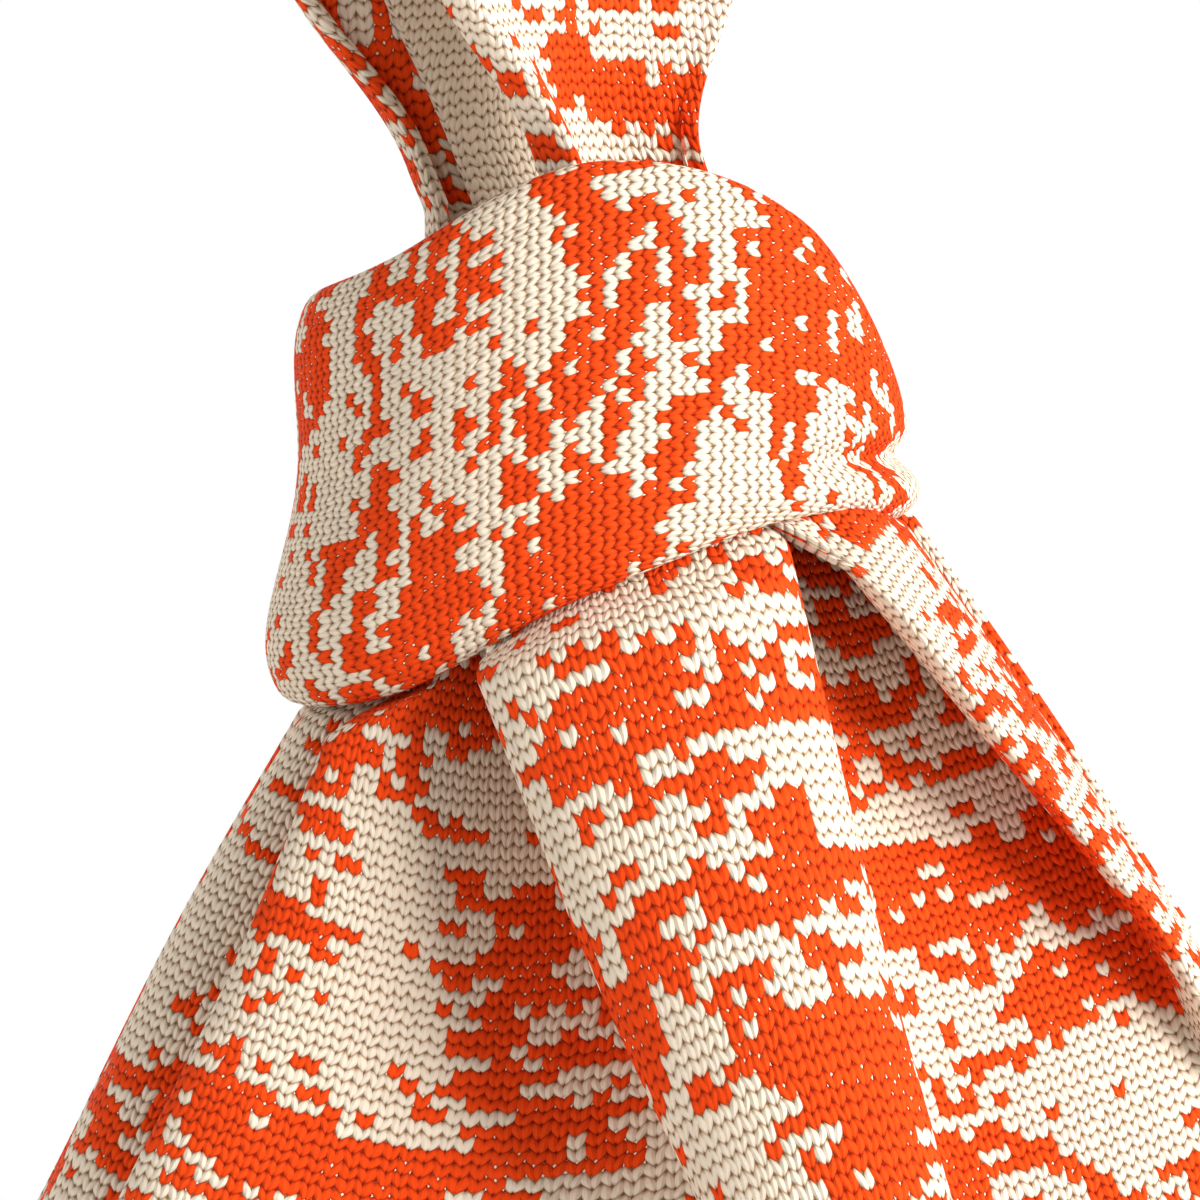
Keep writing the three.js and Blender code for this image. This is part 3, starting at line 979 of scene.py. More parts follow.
        # Brightness that differs at random from stitch to stitch, times painted shade in the grooves between
        # plies.
        tone_and_ply_shade = chance.scaled(*self.stitch_tone) * plies.scaled(self.ply_groove_shade, 1.0 - self.ply_groove_shade)
        tint = self.blend(tree, "MULTIPLY", yarn_with_painted_shade, tone_and_ply_shade.socket, 1.0)
        tree.links.new(tint, shader.inputs["Base Color"])
        bump = tree.nodes.new("ShaderNodeBump")
        bump.inputs["Strength"].default_value = 1.0
        bump.inputs["Distance"].default_value = self.relief * MM
        tree.links.new((height + plies * self.ply_relief).socket, bump.inputs["Height"])
        tree.links.new(bump.outputs["Normal"], shader.inputs["Normal"])
        return made


CREAM = (0.82, 0.715, 0.58)
RED_ORANGE = (0.84, 0.062, 0.004)
PLAIN_CREAM = (0.85, 0.74, 0.6)
JACQUARD_KNIT = Knit("jacquard_knit", CREAM, RED_ORANGE, cover=0.04)
PLAIN_KNIT = Knit("plain_cream_knit", PLAIN_CREAM, CREAM, cover=None, relief=0.6)


@dataclass
class Sheet:
    """Thick cloth made from the grid of its outer face, closed with round edges along both sides.

    wales and courses give the stitch map over the outer face, in stitches: at every point of the grid, or
    at both edges of every strip of faces where the map may jump from one strip to the next.
    """

    name: str
    outer: Array
    wales: Array
    courses: Array
    thickness: float
    stitch: float = 2.7
    rounds: int = 5

    def ring(self) -> Array:
        """Closed rows of points: outer face, half circle round one edge, inner face, half circle back.

        Returns:
            Grid of points, round the sheet's section and up.
        """
        out = facing_out(self.outer)
        inner = self.outer - out * self.thickness
        turn = (np.arange(1, self.rounds + 1) / (self.rounds + 1) * math.pi)[:, None, None]

        def edge(at: int, inside: int) -> Array:
            """Half circle from the outer to the inner face round one edge.

            Args:
                at: number of the edge line.
                inside: number of the line next to it.

            Returns:
                Points of the half circle, up the edge.
            """
            away = self.outer[at] - self.outer[inside]
            away = unit(away - np.sum(away * out[at], axis=-1, keepdims=True) * out[at])
            middle = self.outer[at] - out[at] * self.thickness / 2
            return middle + self.thickness / 2 * (np.cos(turn) * out[at] + np.sin(turn) * away)

        return np.concatenate([self.outer, edge(-1, -2), inner[::-1], edge(0, 1)[::-1]])

    def corner_map(self) -> Array:
        """Stitch map of the ring's quads, which runs on round both edges and back over the inner face.

        Returns:
            Pairs of columns and rows, one to each corner of each quad.
        """
        wales, courses = (
            w if w.ndim == 3 else np.stack([w[:-1], w[1:]], axis=1) for w in (self.wales, self.courses)
        )
        turns = self.rounds + 1
        bend = math.pi * self.thickness / 2 / self.stitch * (np.arange(turns + 1) / turns)[:, None]
        right, left = wales[-1, 1] + bend, wales[0, 0] - bend[::-1]
        start = np.concatenate([wales[:, 0], right[:-1], wales[::-1, 1], left[:-1]])
        stop = np.concatenate([wales[:, 1], right[1:], wales[::-1, 0], left[1:]])
        edge_right = np.repeat(courses[-1:, 1], turns, axis=0)
        edge_left = np.repeat(courses[:1, 0], turns, axis=0)
        climb = np.concatenate([courses[:, 0], edge_right, courses[::-1, 1], edge_left])
        up = np.concatenate([courses[:, 1], edge_right, courses[::-1, 0], edge_left])
        corners = (
            np.stack([start[:, :-1], climb[:, :-1]], axis=-1),
            np.stack([stop[:, :-1], up[:, :-1]], axis=-1),
            np.stack([stop[:, 1:], up[:, 1:]], axis=-1),
            np.stack([start[:, 1:], climb[:, 1:]], axis=-1),
        )
        return np.stack(corners, axis=2).reshape(-1, 2)

    def build(self, outside: bpy.types.Material, inside: bpy.types.Material) -> bpy.types.Object:
        """Makes the sheet's mesh, with its stitch map, its two materials and closed ends.

        Args:
            outside: material of the outer face and the edges.
            inside: material of the inner face.

        Returns:
            The sheet's object.
        """
        ring = self.ring()
        count, rows = ring.shape[:2]
        columns, extra = len(self.outer), self.rounds
        i = np.arange(columns - 1)
        back = columns + extra + (columns - 1 - i)
        caps = []
        for row, order in ((0, 1), (rows - 1, -1)):
            cap = np.stack([i, back, back - 1, i + 1], axis=-1)[:, ::order] * rows + row
            caps.extend(cap.tolist())
            for first in (columns - 1, 2 * columns + extra - 1):
                fan = (np.arange(first, first + extra + 2) % count) * rows + row
                caps.append(fan[:: -order].tolist())
        strip = np.repeat(np.arange(count), rows - 1)
        is_inner = (strip >= columns + extra) & (strip < 2 * columns + extra - 1)
        slots = np.concatenate([is_inner.astype(int), np.zeros(len(caps), int)])
        spare = sum(len(cap) for cap in caps)
        uv = np.concatenate([self.corner_map(), np.full((spare, 2), 0.5)])
        faces = closed_quads(count, rows).tolist() + caps
        return add_mesh(self.name, ring.reshape(-1, 3), faces, uv, slots, (outside, inside))


@dataclass
class Welt:
    """Round sewn welt along a line, ribbed by its own stitches.

    sideways is a direction that the line never runs along, ring joins its ends, wales is the number of
    columns round it and course the height of a stitch. tip is the least square of the ends' share of it.
    """

    name: str
    line: Array
    radius: float
    sideways: Triple
    ring: bool = False
    sides: int = 10
    wales: float = 2.0
    course: float = 2.3
    tip: float = 0.04

    def build(self, cloth: bpy.types.Material) -> bpy.types.Object:
        """Carries a circle along the line, square to it, and rounds its ends off or joins them.

        Args:
            cloth: material of the welt.

        Returns:
            The welt's object.
        """
        line, sides, count = self.line, self.sides, len(self.line)
        if self.ring:
            along = unit(np.roll(line, -1, axis=0) - np.roll(line, 1, axis=0))
        else:
            along = unit(np.gradient(line, axis=0))
        side = unit(np.cross(np.array(self.sideways), along))
        up = np.cross(along, side)
        turn = 2 * math.pi * np.arange(sides) / sides
        circle = np.cos(turn)[None, :, None] * side[:, None] + np.sin(turn)[None, :, None] * up[:, None]
        step = np.linalg.norm(np.diff(line, axis=0, append=line[:1]), axis=-1)
        run = np.concatenate([[0.0], np.cumsum(step)])
        end = np.ones(count)
        if not self.ring:
            near = np.minimum(run[:count], run[count - 1] - run[:count]) / self.radius
            end = np.sqrt(np.clip(1 - (1 - np.minimum(near, 1.0)) ** 2, self.tip, 1.0))
        points = line[:, None] + self.radius * end[:, None, None] * circle
        k, n = np.meshgrid(np.arange(count if self.ring else count - 1), np.arange(sides), indexing="ij")
        k1, n1 = (k + 1) % count, (n + 1) % sides
        quads = np.stack([k * sides + n, k * sides + n1, k1 * sides + n1, k1 * sides + n], axis=-1)
        u = np.stack([n, n + 1, n + 1, n], axis=-1) * (self.wales / sides)
        v = np.stack([run[k], run[k], run[k + 1], run[k + 1]], axis=-1) / self.course
        uv = np.stack([u, v], axis=-1).reshape(-1, 2)
        faces = quads.reshape(-1, 4).tolist()
        if not self.ring:
            first = np.arange(sides)
            faces += [first[::-1].tolist(), (first + (count - 1) * sides).tolist()]
            uv = np.concatenate([uv, np.full((2 * sides, 2), 0.5)])
        return add_mesh(self.name, points.reshape(-1, 3), faces, uv, np.zeros(len(faces), int), (cloth,))


@dataclass
class Panels:
    """Front and back panels, cut in one with the roots of the long loop, and the seams between them.

    The panels reach from low to high, with row_counts rows below and above dense_from. Columns are wale wide
    on the edges, and stitches are counted from the reference height. steps and starts are, for the front and
    the back, the points to each control line and the column and row of the design to start at. seam_steps
    and seam_points are the fineness of the seams, whose welts are sunk into the cloth.
    """

    body: Body
    jacquard: bpy.types.Material
    plain: bpy.types.Material
    knit: float = 1.2
    low: float = 3.3
    high: float = 264.0
    dense_from: float = 140.0
    row_counts: tuple[int, int] = (44, 86)
    wale: float = 2.7
    reference: float = 185.0
    steps: tuple[int, int] = (10, 12)
    starts: tuple[float, float] = (131.0, 440.0)
    seam_steps: int = 6
    seam_points: int = 150
    welt_radius: float = 1.5
    welt_sunk: float = 0.9

    def rows(self) -> Array:
        """Heights of the rows, closer together round the neck."""
        lower = np.linspace(self.low, self.dense_from, self.row_counts[0])[:-1]
        return np.concatenate([lower, np.linspace(self.dense_from, self.high, self.row_counts[1])])

    def stitch_map(
        self, outer: Array, z: Array, steps: int, parts: tuple[Stretch, ...]
    ) -> tuple[Array, Array]:
        """Columns and rows of stitches over a panel.

        Columns run up the panel. A step along the cloth counts a geometric mean of its length at its own
        height and at a reference height, weighted by how far the stretch is drawn, so columns draw closer
        towards the neck. Rows are counted along the fold lines, from a line that crosses them squarely at
        the reference height.

        Args:
            outer: grid of the outer face.
            z: heights of its rows.
            steps: points to each fold line.
            parts: stretches of the cloth, in order.

        Returns:
            Columns and rows at both edges of every strip of faces up the panel.
        """
        at = int(np.argmin(np.abs(z - self.reference)))
        middle = (np.arange(len(outer) - 1) + 0.5) / steps
        part = np.searchsorted([p.last for p in parts], middle)
        anchor = np.array([round(p.origin * steps) for p in parts])[part]
        wale, course, drawn = (
            np.array([getattr(p, name) for p in parts])[part][:, None] for name in ("wale", "course", "drawn")
        )
        step = np.linalg.norm(np.diff(outer, axis=0), axis=-1)
        count = step ** (1 - drawn) * step[:, at : at + 1] ** drawn
        across = np.concatenate([np.zeros((1, len(z))), np.cumsum(count, axis=0)])
        start = across[anchor, at][:, None] - across[anchor]
        up = running_length(outer, 1)
        rise = unit(outer[:, at + 1] - outer[:, at - 1])
        slant = np.sum(np.diff(outer[:, at], axis=0) * rise[1:], axis=-1)
        level = np.concatenate([[0.0], np.cumsum(slant)])
        climb = up - up[:, at : at + 1] + level[:, None]
        wales = np.stack([across[:-1] + start, across[1:] + start], axis=1) / wale[:, None]
        return wales, np.stack([climb[:-1], climb[1:]], axis=1) / course[:, None]

    def panel(self, half: Half, name: str, steps: int, start: float) -> bpy.types.Object:
        """One panel.

        Args:
            half: front or back panel.
            name: piece's name.
            steps: points to each control line.
            start: column and row of the design to start at.

        Returns:
            The panel.
        """
        z = self.rows()
        outer = self.body.panel(half, steps, z)
        wales, courses = self.stitch_map(outer, z, steps, STRETCHES[half])
        sheet = Sheet(name, outer, wales + start, courses + start, self.knit, self.wale)
        piece = sheet.build(self.jacquard, self.plain)
        return piece

    def seam(self, edge: int, name: str) -> bpy.types.Object:
        """Welt of a side seam along the meeting edge of the two panels, set half into the cloth.

        Args:
            edge: number of the front panel's edge line, 0 at the left and -1 at the right.
            name: piece's name.

        Returns:
            The welt.
        """
        z = np.linspace(self.low + 1.0, self.body.parting[0], self.seam_points)
        line = self.body.panel(Half.FRONT, self.seam_steps, z)[edge]
        line[:, 0] -= np.sign(line[:, 0]) * self.welt_sunk
        return Welt(name, line, self.welt_radius, (0.0, 1.0, 0.0)).build(self.jacquard)

    def build(self) -> None:
        """Makes both panels and both seams."""
        for half, steps, start in zip(Half, self.steps, self.starts):
            side = half.name.lower()
            piece = self.panel(half, f"knit_{side}_panel", steps, start)
            enter(piece, (f"{side}_panel", f"{side}_lining"), Carrier.BAG)
        for side, edge in (("left", 0), ("right", -1)):
            piece = self.seam(edge, f"{side}_seam_welt")
            enter(piece, (f"{side}_side_seam",), Carrier.BAG)


@dataclass
class Base:
    """Flat oval base with its welt and lining.

    heights are those of the base and of the lining, from its underside to its upper side, and insets the
    distances of their rims inside the panels' lower edge. inward gives the shares of the outline at which the
    faces inside the rim are ringed. start is the column and row of the design to start at, and stitch the
    width and height of a stitch.
    """

    body: Body
    jacquard: bpy.types.Material
    plain: bpy.types.Material
    panels_low: float = 3.3
    inset: float = 3.1
    heights: tuple[float, float] = (0.0, 3.0)
    lining_inset: float = 9.1
    lining_heights: tuple[float, float] = (3.3, 4.5)
    welt_radius: float = 1.4
    welt_height: float = 1.5
    outline_steps: int = 6
    rim_steps: int = 7
    inward: tuple[float, ...] = (0.9, 0.5, 0.0)
    stitch: tuple[float, float] = (2.7, 2.3)
    start: float = 900.0

    def outline(self, inset: float) -> Array:
        """Lower edge of the two panels, drawn in square to itself.

        Args:
            inset: distance by which it is drawn in.

        Returns:
            Points of the closed line.
        """
        z = np.array([self.panels_low])
        edge = np.concatenate([self.body.panel(half, self.outline_steps, z)[:-1, 0] for half in Half])
        out = np.roll(edge, -1, axis=0) - np.roll(edge, 1, axis=0)
        out = unit(np.stack([out[:, 1], -out[:, 0], np.zeros(len(out))], axis=-1))
        return edge - inset * out

    def plate(
        self, name: str, inset: float, heights: tuple[float, float], cloth: bpy.types.Material
    ) -> bpy.types.Object:
        """Oval plate with rounded rim: rings of the outline drawn in and lifted along a half circle.

        Args:
            name: piece's name.
            inset: distance of its rim inside the panels' lower edge.
            heights: heights of its underside and upper side.
            cloth: its material.

        Returns:
            The plate.
        """
        low, high = heights
        radius = (high - low) / 2
        turn = np.linspace(-math.pi / 2, math.pi / 2, self.rim_steps)
        rings = [(1 - math.cos(t)) * radius + inset for t in turn]
        inner = len(self.inward)
        shares = [*self.inward[::-1], *[1.0] * self.rim_steps, *self.inward]
        insets = [rings[0]] * inner + rings + [rings[-1]] * inner
        levels = [low] * inner + [low + (1 + math.sin(t)) * radius for t in turn] + [high] * inner
        loops = []
        for share, edge, level in zip(shares, insets, levels):
            loop = self.outline(edge) * share
            loop[:, 2] = level
            loops.append(loop)
        points = np.stack(loops, axis=1)
        count, rows = points.shape[:2]
        quads = closed_quads(count, rows, 1)
        here = np.arange(count) * rows
        ahead = np.roll(here, -1)
        under = np.stack([ahead + 1, here + 1, np.zeros_like(here)], axis=-1)
        over = np.stack([here + rows - 2, ahead + rows - 2, np.full_like(here, rows - 1)], axis=-1)
        flat = points.reshape(-1, 3)
        corners = np.concatenate([quads.ravel(), under.ravel(), over.ravel()])
        uv = flat[corners][:, :2] / np.array(self.stitch) + self.start
        used, number = np.unique(corners, return_inverse=True)
        split = 4 * len(quads)
        faces = number[:split].reshape(-1, 4).tolist() + number[split:].reshape(-1, 3).tolist()
        piece = add_mesh(name, flat[used], faces, uv, np.zeros(len(faces), int), (cloth,))
        rim = self.outline(inset)[:, :2] * MM
        return piece

    def build(self) -> None:
        """Makes the base, its lining and its welt."""
        base = self.plate("knit_base", self.inset, self.heights, self.jacquard)
        enter(base, ("base_panel",), Carrier.BAG)
        lining = self.plate("base_lining_cloth", self.lining_inset, self.lining_heights, self.plain)
        enter(lining, ("base_lining",), Carrier.BAG)
        line = self.outline(self.welt_radius)
        line[:, 2] = self.welt_height
        welt = Welt("base_welt", line, self.welt_radius, (0.0, 0.0, 1.0), ring=True).build(self.jacquard)
        enter(welt, ("base_seam",), Carrier.BAG)


@dataclass
class ShortLoop:
    """Short loop: two halves of a strap that lie as a band round the neck, their join and their roots.

    join is the angle of the join round the band. columns and starts are, for the front and the back half,
    the steps round the band and the column and row of the design to start at. The roots lie on the back
    panel over root_heights, lift above it, each between two shares of the panel's width, which is read with
    panel_steps points to each control line. bends gives two places in metres.
    """

    body: Body
    jacquard: bpy.types.Material
    plain: bpy.types.Material
    join: float = math.radians(168.0)
    wale: float = 2.3
    course: float = 2.3
    columns: tuple[int, int] = (220, 150)
    rows: int = 64
    starts: tuple[float, float] = (1040.0, 1540.0)
    join_span: tuple[float, float] = (0.03, 0.97)
    join_points: int = 60
    welt_radius: float = 1.5
    root_heights: tuple[float, float] = (172.0, 250.0)
    root_shares: tuple[tuple[float, float], ...] = ((0.045, 0.13), (0.155, 0.29))
    root_starts: tuple[float, float] = (2040.0, 2540.0)
    root_wall: float = 3.0
    root_rows: int = 60
    root_columns: int = 24
    panel_steps: int = 40
    lift: float = 3.4
    bends: tuple[Triple, Triple] = ((0.05, 0.02, 0.205), (0.05, 0.02, 0.25))

    def half(self, name: str, angles: tuple[float, float], columns: int, start: float) -> bpy.types.Object:
        """Half of the band between two angles.

        The strap's columns of stitches run round the band and are counted up from its middle line.

        Args:
            name: piece's name.
            angles: first and last angle.
            columns: steps round the band.
            start: column and row of the design to start at.

        Returns:
            The half band.
        """
        band = self.body.band
        grid = np.meshgrid(np.linspace(*angles, columns), np.linspace(0, 1, self.rows), indexing="ij")
        points = band.surface(*grid).transpose(1, 0, 2)[::-1]
        up = running_length(points, 0)
        wales = (up - 0.5 * up[-1:]) / self.wale
        around = running_length(points, 1)[self.rows // 2]
        courses = np.repeat(around[None], self.rows, axis=0) / self.course
        sheet = Sheet(name, points, wales + start, courses + start, band.wall, self.wale, rounds=9)
        piece = sheet.build(self.jacquard, self.plain)
        return piece

    def root(self, name: str, shares: tuple[float, float], start: float) -> bpy.types.Object:
        """Root of the short loop, a strap end that lies on the back panel near the right side.

        It follows the panel between two shares of its width, a little above it.

        Args:
            name: piece's name.
            shares: shares of the panel's width at its two edges.
            start: column and row of the design to start at.

        Returns:
            The root.
        """
        grid = self.body.panel(Half.BACK, self.panel_steps, np.linspace(*self.root_heights, self.root_rows))
        count = len(grid) - 1
        lines = np.linspace(shares[0] * count, shares[1] * count, self.root_columns).astype(int)
        outer = grid[lines] + facing_out(grid)[lines] * self.lift
        wales = running_length(outer, 0) / self.wale + start
        courses = running_length(outer, 1) / self.course + start
        sheet = Sheet(name, outer, wales, courses, self.root_wall, self.wale, rounds=6)
        piece = sheet.build(self.jacquard, self.plain)
        return piece

    def build(self) -> None:
        """Makes both halves, the join and both roots."""
        angles = ((self.join, 2 * math.pi), (0.0, self.join))
        for side, span, columns, start in zip(("front", "back"), angles, self.columns, self.starts):
            piece = self.half(f"short_loop_{side}", span, columns, start)
            enter(piece, (f"short_{side}_band", f"short_{side}_facing"), Carrier.CINCH)
        across = np.linspace(*self.join_span, self.join_points)
        line = self.body.band.surface(np.full_like(across, self.join), across)
        welt = Welt("short_loop_join", line, self.welt_radius, (0.0, 1.0, 0.0)).build(self.jacquard)
        enter(welt, ("short_join_seam",), Carrier.CINCH)
        for side, shares, start in zip(("front", "back"), self.root_shares, self.root_starts):
            piece = self.root(f"short_loop_{side}_root", shares, start)
            enter(piece, (f"short_{side}_root",))
            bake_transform(piece)


@dataclass
class LongLoop:
    """Long loop: two halves of a strap that rise from the neck, with their facings and the join on top.

    covers gives the places over the width between which the facing lies, sunk into the strap by overlap.
    There are root_rows rows inside the band, and row_counts of them over the first length dense of the strap
    and over the rest. starts are, for the front and the back half, the column and row of the design to start
    at. bends gives two heights in metres.
    """

    body: Body
    jacquard: bpy.types.Material
    plain: bpy.types.Material
    knit: float = 3.0
    facing: float = 1.4
    overlap: float = 0.2
    covers: tuple[float, float] = (-0.36, 0.68)
    low: float = 256.0
    dense: float = 60.0
    columns: int = 70
    row_counts: tuple[int, int] = (46, 70)
    root_rows: int = 26
    panel_steps: int = 12
    wale: float = 2.6
    course: float = 2.35
    facing_stitch: float = 2.2
    starts: tuple[float, float] = (3047.0, 3671.0)
    join_reach: float = 0.98
    join_points: int = 60
    welt_radius: float = 1.5
    bends: tuple[float, float] = (0.286, 0.322)

    def grid(self, half: Half) -> Array:
        """Outer face of one half, from inside the band to the top.

        Below the swing axis it is the panel's own upper end, and above it the loop's strap.

        Args:
            half: front or back half.

        Returns:
            Grid of points, over the strap and up.
        """
        strap = self.body.strap
        lengths = np.linspace(0, self.dense, self.row_counts[0])[:-1]
        rest = np.linspace(self.dense, strap.half_length, self.row_counts[1])
        lengths = np.concatenate([lengths, rest])
        place = np.linspace(-1.0, 1.0, self.columns)
        upper = strap.surface(half, *np.meshgrid(half * place, lengths, indexing="ij"))
        z = np.linspace(self.low, strap.hinge, self.root_rows)[:-1]
        panel = self.body.panel(half, self.panel_steps, z)
        share = (place + 1) / 2 * (len(panel) - 1)
        at = np.clip(share.astype(int), 0, len(panel) - 2)
        lower = mix(panel[at], panel[at + 1], (share - at)[:, None, None])
        return np.concatenate([lower, upper], axis=1)

    @staticmethod
    def climb(face: Array) -> Array:
        """Mean length up a face, the same over its whole width."""
        up = running_length(face, 1)
        return np.repeat(up.mean(axis=0)[None], len(up), axis=0)

    def half(self, half: Half, name: str, start: float) -> bpy.types.Object:
        """One half of the strap, whose columns of stitches are counted from its middle line.

        Args:
            half: front or back half.
            name: piece's name.
            start: column and row of the design to start at.

        Returns:
            The half strap.
        """
        outer = self.grid(half)
        wales = running_length(outer, 0)
        wales = (wales - wales[-1:] / 2) / self.wale
        courses = self.climb(outer) / self.course
        sheet = Sheet(name, outer, wales + start, courses + start, self.knit, self.wale, rounds=6)
        piece = sheet.build(self.jacquard, self.jacquard)
        return piece

    def inner(self, half: Half, name: str) -> bpy.types.Object:
        """Plain facing on the inner side of one half, narrower than the strap.

        Args:
            half: front or back half.
            name: piece's name.

        Returns:
            The facing.
        """
        strap = self.grid(half)
        c = half * np.linspace(-1, 1, len(strap))
        covered = (c > self.covers[0]) & (c < self.covers[1])
        inside = (strap - facing_out(strap) * (self.knit - self.overlap))[covered]
        wales, courses = (w / self.facing_stitch for w in (running_length(inside, 0), self.climb(inside)))
        sheet = Sheet(name, inside, wales, courses, self.facing, self.facing_stitch)
        piece = sheet.build(self.plain, self.plain)
        return piece

    def build(self) -> None:
        """Makes both halves, both facings and the join."""
        strap = self.body.strap
        for half, start in zip(Half, self.starts):
            side = half.name.lower()
            cloth = self.half(half, f"long_loop_{side}", start)
            enter(cloth, (f"long_{side}_strap",))
            facing = self.inner(half, f"long_loop_{side}_inner")
            enter(facing, (f"long_{side}_facing",))
            for piece in (cloth, facing):
                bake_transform(piece)
        c = np.linspace(-self.join_reach, self.join_reach, self.join_points)
        line = strap.surface(Half.FRONT, c, np.full_like(c, strap.half_length))
        welt = Welt("long_loop_join", line, self.welt_radius, (0.0, 0.0, 1.0)).build(self.jacquard)
        enter(welt, ("long_join_seam",), Carrier.LOOP)


@dataclass(frozen=True)
class Lamp:
    """Square soft light, with its place and size in metres."""

    name: str
    place: Triple
    size: float
    power: float
    colour: Triple

    def build(self, aim: Array) -> None:
        """Makes the light and turns it.

        Args:
            aim: point in metres that it is turned to.
        """
        data = bpy.data.lights.new(self.name, "AREA")
        data.size, data.energy, data.color = self.size, self.power, self.colour
        lamp = bpy.data.objects.new(self.name, data)
        lamp.location = self.place
        lamp.rotation_euler = direction(aim - np.array(self.place))
        bpy.context.scene.collection.objects.link(lamp)


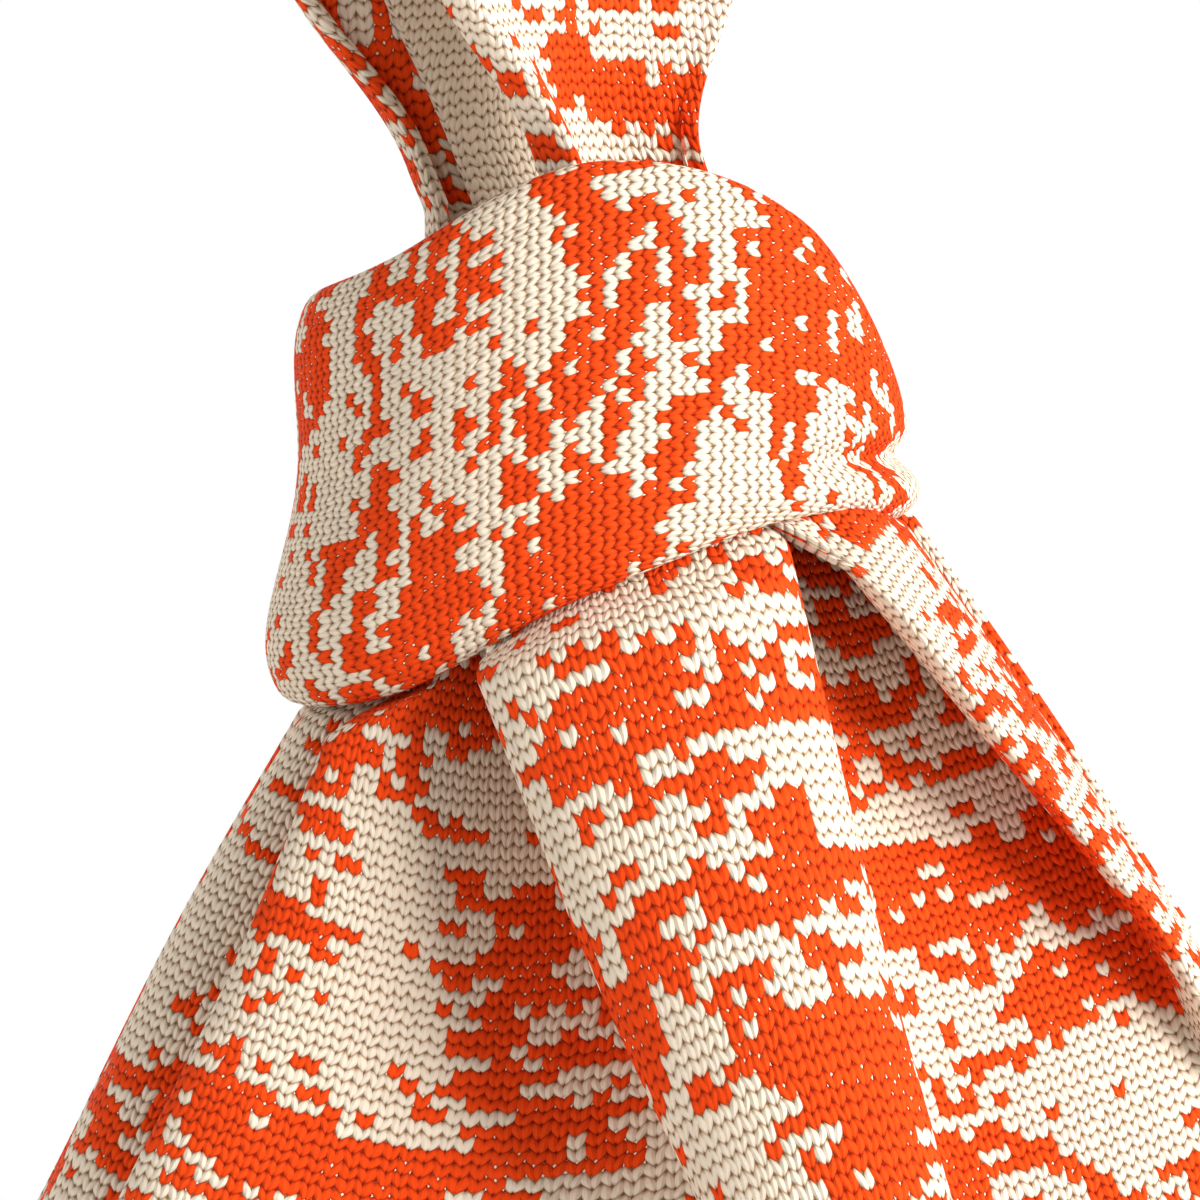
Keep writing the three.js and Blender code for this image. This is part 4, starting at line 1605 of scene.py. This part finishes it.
@dataclass(frozen=True)
class Studio:
    """Floor, soft light and the camera at the photograph's angle.

    The camera looks at aim from a distance and an elevation, with frame_width in the picture. The floor is
    floor_size metres wide and is seen as white by the share fade_shares[0] under the bag, up to
    fade_shares[1] over the distances fade_reach from its middle.
    """

    aim: Triple = (-13.6, -30.0, 235.0)
    distance: float = 900.0
    elevation: float = 4.0
    frame_width: float = 204.0
    sensor: float = 36.0
    room_light: Triple = (1.0, 0.97, 0.93)
    room_strength: float = 0.3
    floor_grey: float = 0.86
    floor_size: float = 8.0
    fade_reach: tuple[float, float] = (0.15, 0.6)
    fade_shares: tuple[float, float] = (0.7, 1.0)
    lamps: tuple[Lamp, ...] = (
        Lamp("key_light", (0.945, -0.54, 0.62), 0.8, 26.5, (1.0, 0.98, 0.95)),
        Lamp("fill_light", (-1.15, -0.45, 0.5), 0.7, 5.8, (1.0, 0.95, 0.89)),
        Lamp("rear_light", (-0.3, 1.2, 0.7), 0.8, 11.0, (1.0, 0.98, 0.95)),
    )

    def background(self, world: bpy.types.World) -> None:
        """White to the camera and to mirrors, and a plain light to everything else.

        Args:
            world: world to dress.
        """
        world.use_nodes = True
        tree = world.node_tree
        tree.nodes.clear()
        out = tree.nodes.new("ShaderNodeOutputWorld")
        seen, lit = tree.nodes.new("ShaderNodeBackground"), tree.nodes.new("ShaderNodeBackground")
        seen.inputs["Color"].default_value = (1.0, 1.0, 1.0, 1.0)
        lit.inputs["Color"].default_value = (*self.room_light, 1.0)
        lit.inputs["Strength"].default_value = self.room_strength
        tree.links.new(self.seen_white(tree).socket, self.blend_shaders(tree, lit, seen, out))

    @staticmethod
    def seen_white(tree: bpy.types.NodeTree) -> Term:
        """Marks rays from the camera, from a mirror or through glass.

        Args:
            tree: node tree to add to.

        Returns:
            1 for such rays, else 0.
        """
        path = tree.nodes.new("ShaderNodeLightPath")
        seen = Term(tree, path.outputs["Is Camera Ray"])
        for name in ("Is Glossy Ray", "Is Transmission Ray"):
            seen = seen.op("MAXIMUM", Term(tree, path.outputs[name]))
        return seen

    @staticmethod
    def blend_shaders(
        tree: bpy.types.NodeTree,
        first: bpy.types.Node,
        second: bpy.types.Node,
        out: bpy.types.Node,
    ) -> bpy.types.NodeSocket:
        """Mixes two shaders into the output.

        Args:
            tree: node tree to add to.
            first: first shader.
            second: second shader.
            out: output node.

        Returns:
            Socket for the share of the second shader.
        """
        both = tree.nodes.new("ShaderNodeMixShader")
        tree.links.new(first.outputs[0], both.inputs[1])
        tree.links.new(second.outputs[0], both.inputs[2])
        tree.links.new(both.outputs[0], out.inputs["Surface"])
        return both.inputs[0]

    def floor(self) -> None:
        """Plain pale floor that keeps the bag's shadow and turns white away from the bag."""
        mesh = bpy.data.meshes.new("floor")
        s = self.floor_size / 2
        mesh.from_pydata([(-s, -s, 0), (s, -s, 0), (s, s, 0), (-s, s, 0)], [], [(0, 1, 2, 3)])
        made = bpy.data.materials.new("pale_floor")
        made.use_nodes = True
        tree = made.node_tree
        matt = tree.nodes["Principled BSDF"]
        matt.inputs["Base Color"].default_value = (*[self.floor_grey] * 3, 1.0)
        matt.inputs["Roughness"].default_value = 0.9
        glow = tree.nodes.new("ShaderNodeEmission")
        share = self.blend_shaders(tree, matt, glow, tree.nodes["Material Output"])
        place, reach = tree.nodes.new("ShaderNodeTexCoord"), tree.nodes.new("ShaderNodeVectorMath")
        reach.operation = "LENGTH"
        tree.links.new(place.outputs["Object"], reach.inputs[0])
        fade = tree.nodes.new("ShaderNodeMapRange")
        fade.interpolation_type = "SMOOTHSTEP"
        limits = (*self.fade_reach, *self.fade_shares)
        for name, value in zip(("From Min", "From Max", "To Min", "To Max"), limits):
            fade.inputs[name].default_value = value
        tree.links.new(reach.outputs["Value"], fade.inputs["Value"])
        tree.links.new((self.seen_white(tree) * Term(tree, fade.outputs["Result"])).socket, share)
        mesh.materials.append(made)
        floor = bpy.data.objects.new("floor", mesh)
        bpy.context.scene.collection.objects.link(floor)

    def camera(self) -> None:
        """Camera in front of the knot, at the distance where the frame is as wide as the photograph."""
        data = bpy.data.cameras.new("camera")
        data.sensor_width = self.sensor
        data.lens = self.sensor * self.distance / self.frame_width
        data.clip_start = 0.01
        camera = bpy.data.objects.new("camera", data)
        tilt = math.radians(self.elevation)
        back = np.array([0.0, -math.cos(tilt), math.sin(tilt)])
        camera.location = (np.array(self.aim) + self.distance * back) * MM
        camera.rotation_euler = direction(-back)
        bpy.context.scene.collection.objects.link(camera)
        bpy.context.scene.camera = camera

    def build(self) -> None:
        """Makes the stage."""
        scene = bpy.context.scene
        scene.view_settings.view_transform = "Standard"
        scene.world = bpy.data.worlds.new("studio")
        self.background(scene.world)
        self.floor()
        for lamp in self.lamps:
            lamp.build(np.array(self.aim) * MM)
        self.camera()


def direction(aim: Array) -> Triple:
    """Turn that points an object's -Z along an aim with +Y upward, as Euler angles."""
    x, y, z = aim
    return (math.atan2(math.hypot(x, y), -z), 0.0, math.atan2(y, x) - math.pi / 2)


def main() -> None:
    """Builds the stage and the bag's pieces in order."""
    logging.basicConfig(level=logging.INFO)
    Studio().build()
    body = Body(Band(), Strap())
    jacquard, plain = JACQUARD_KNIT.material(), PLAIN_KNIT.material()
    for kind in (Panels, Base, ShortLoop, LongLoop):
        kind(body, jacquard, plain).build()


if __name__ == "__main__":
    main()
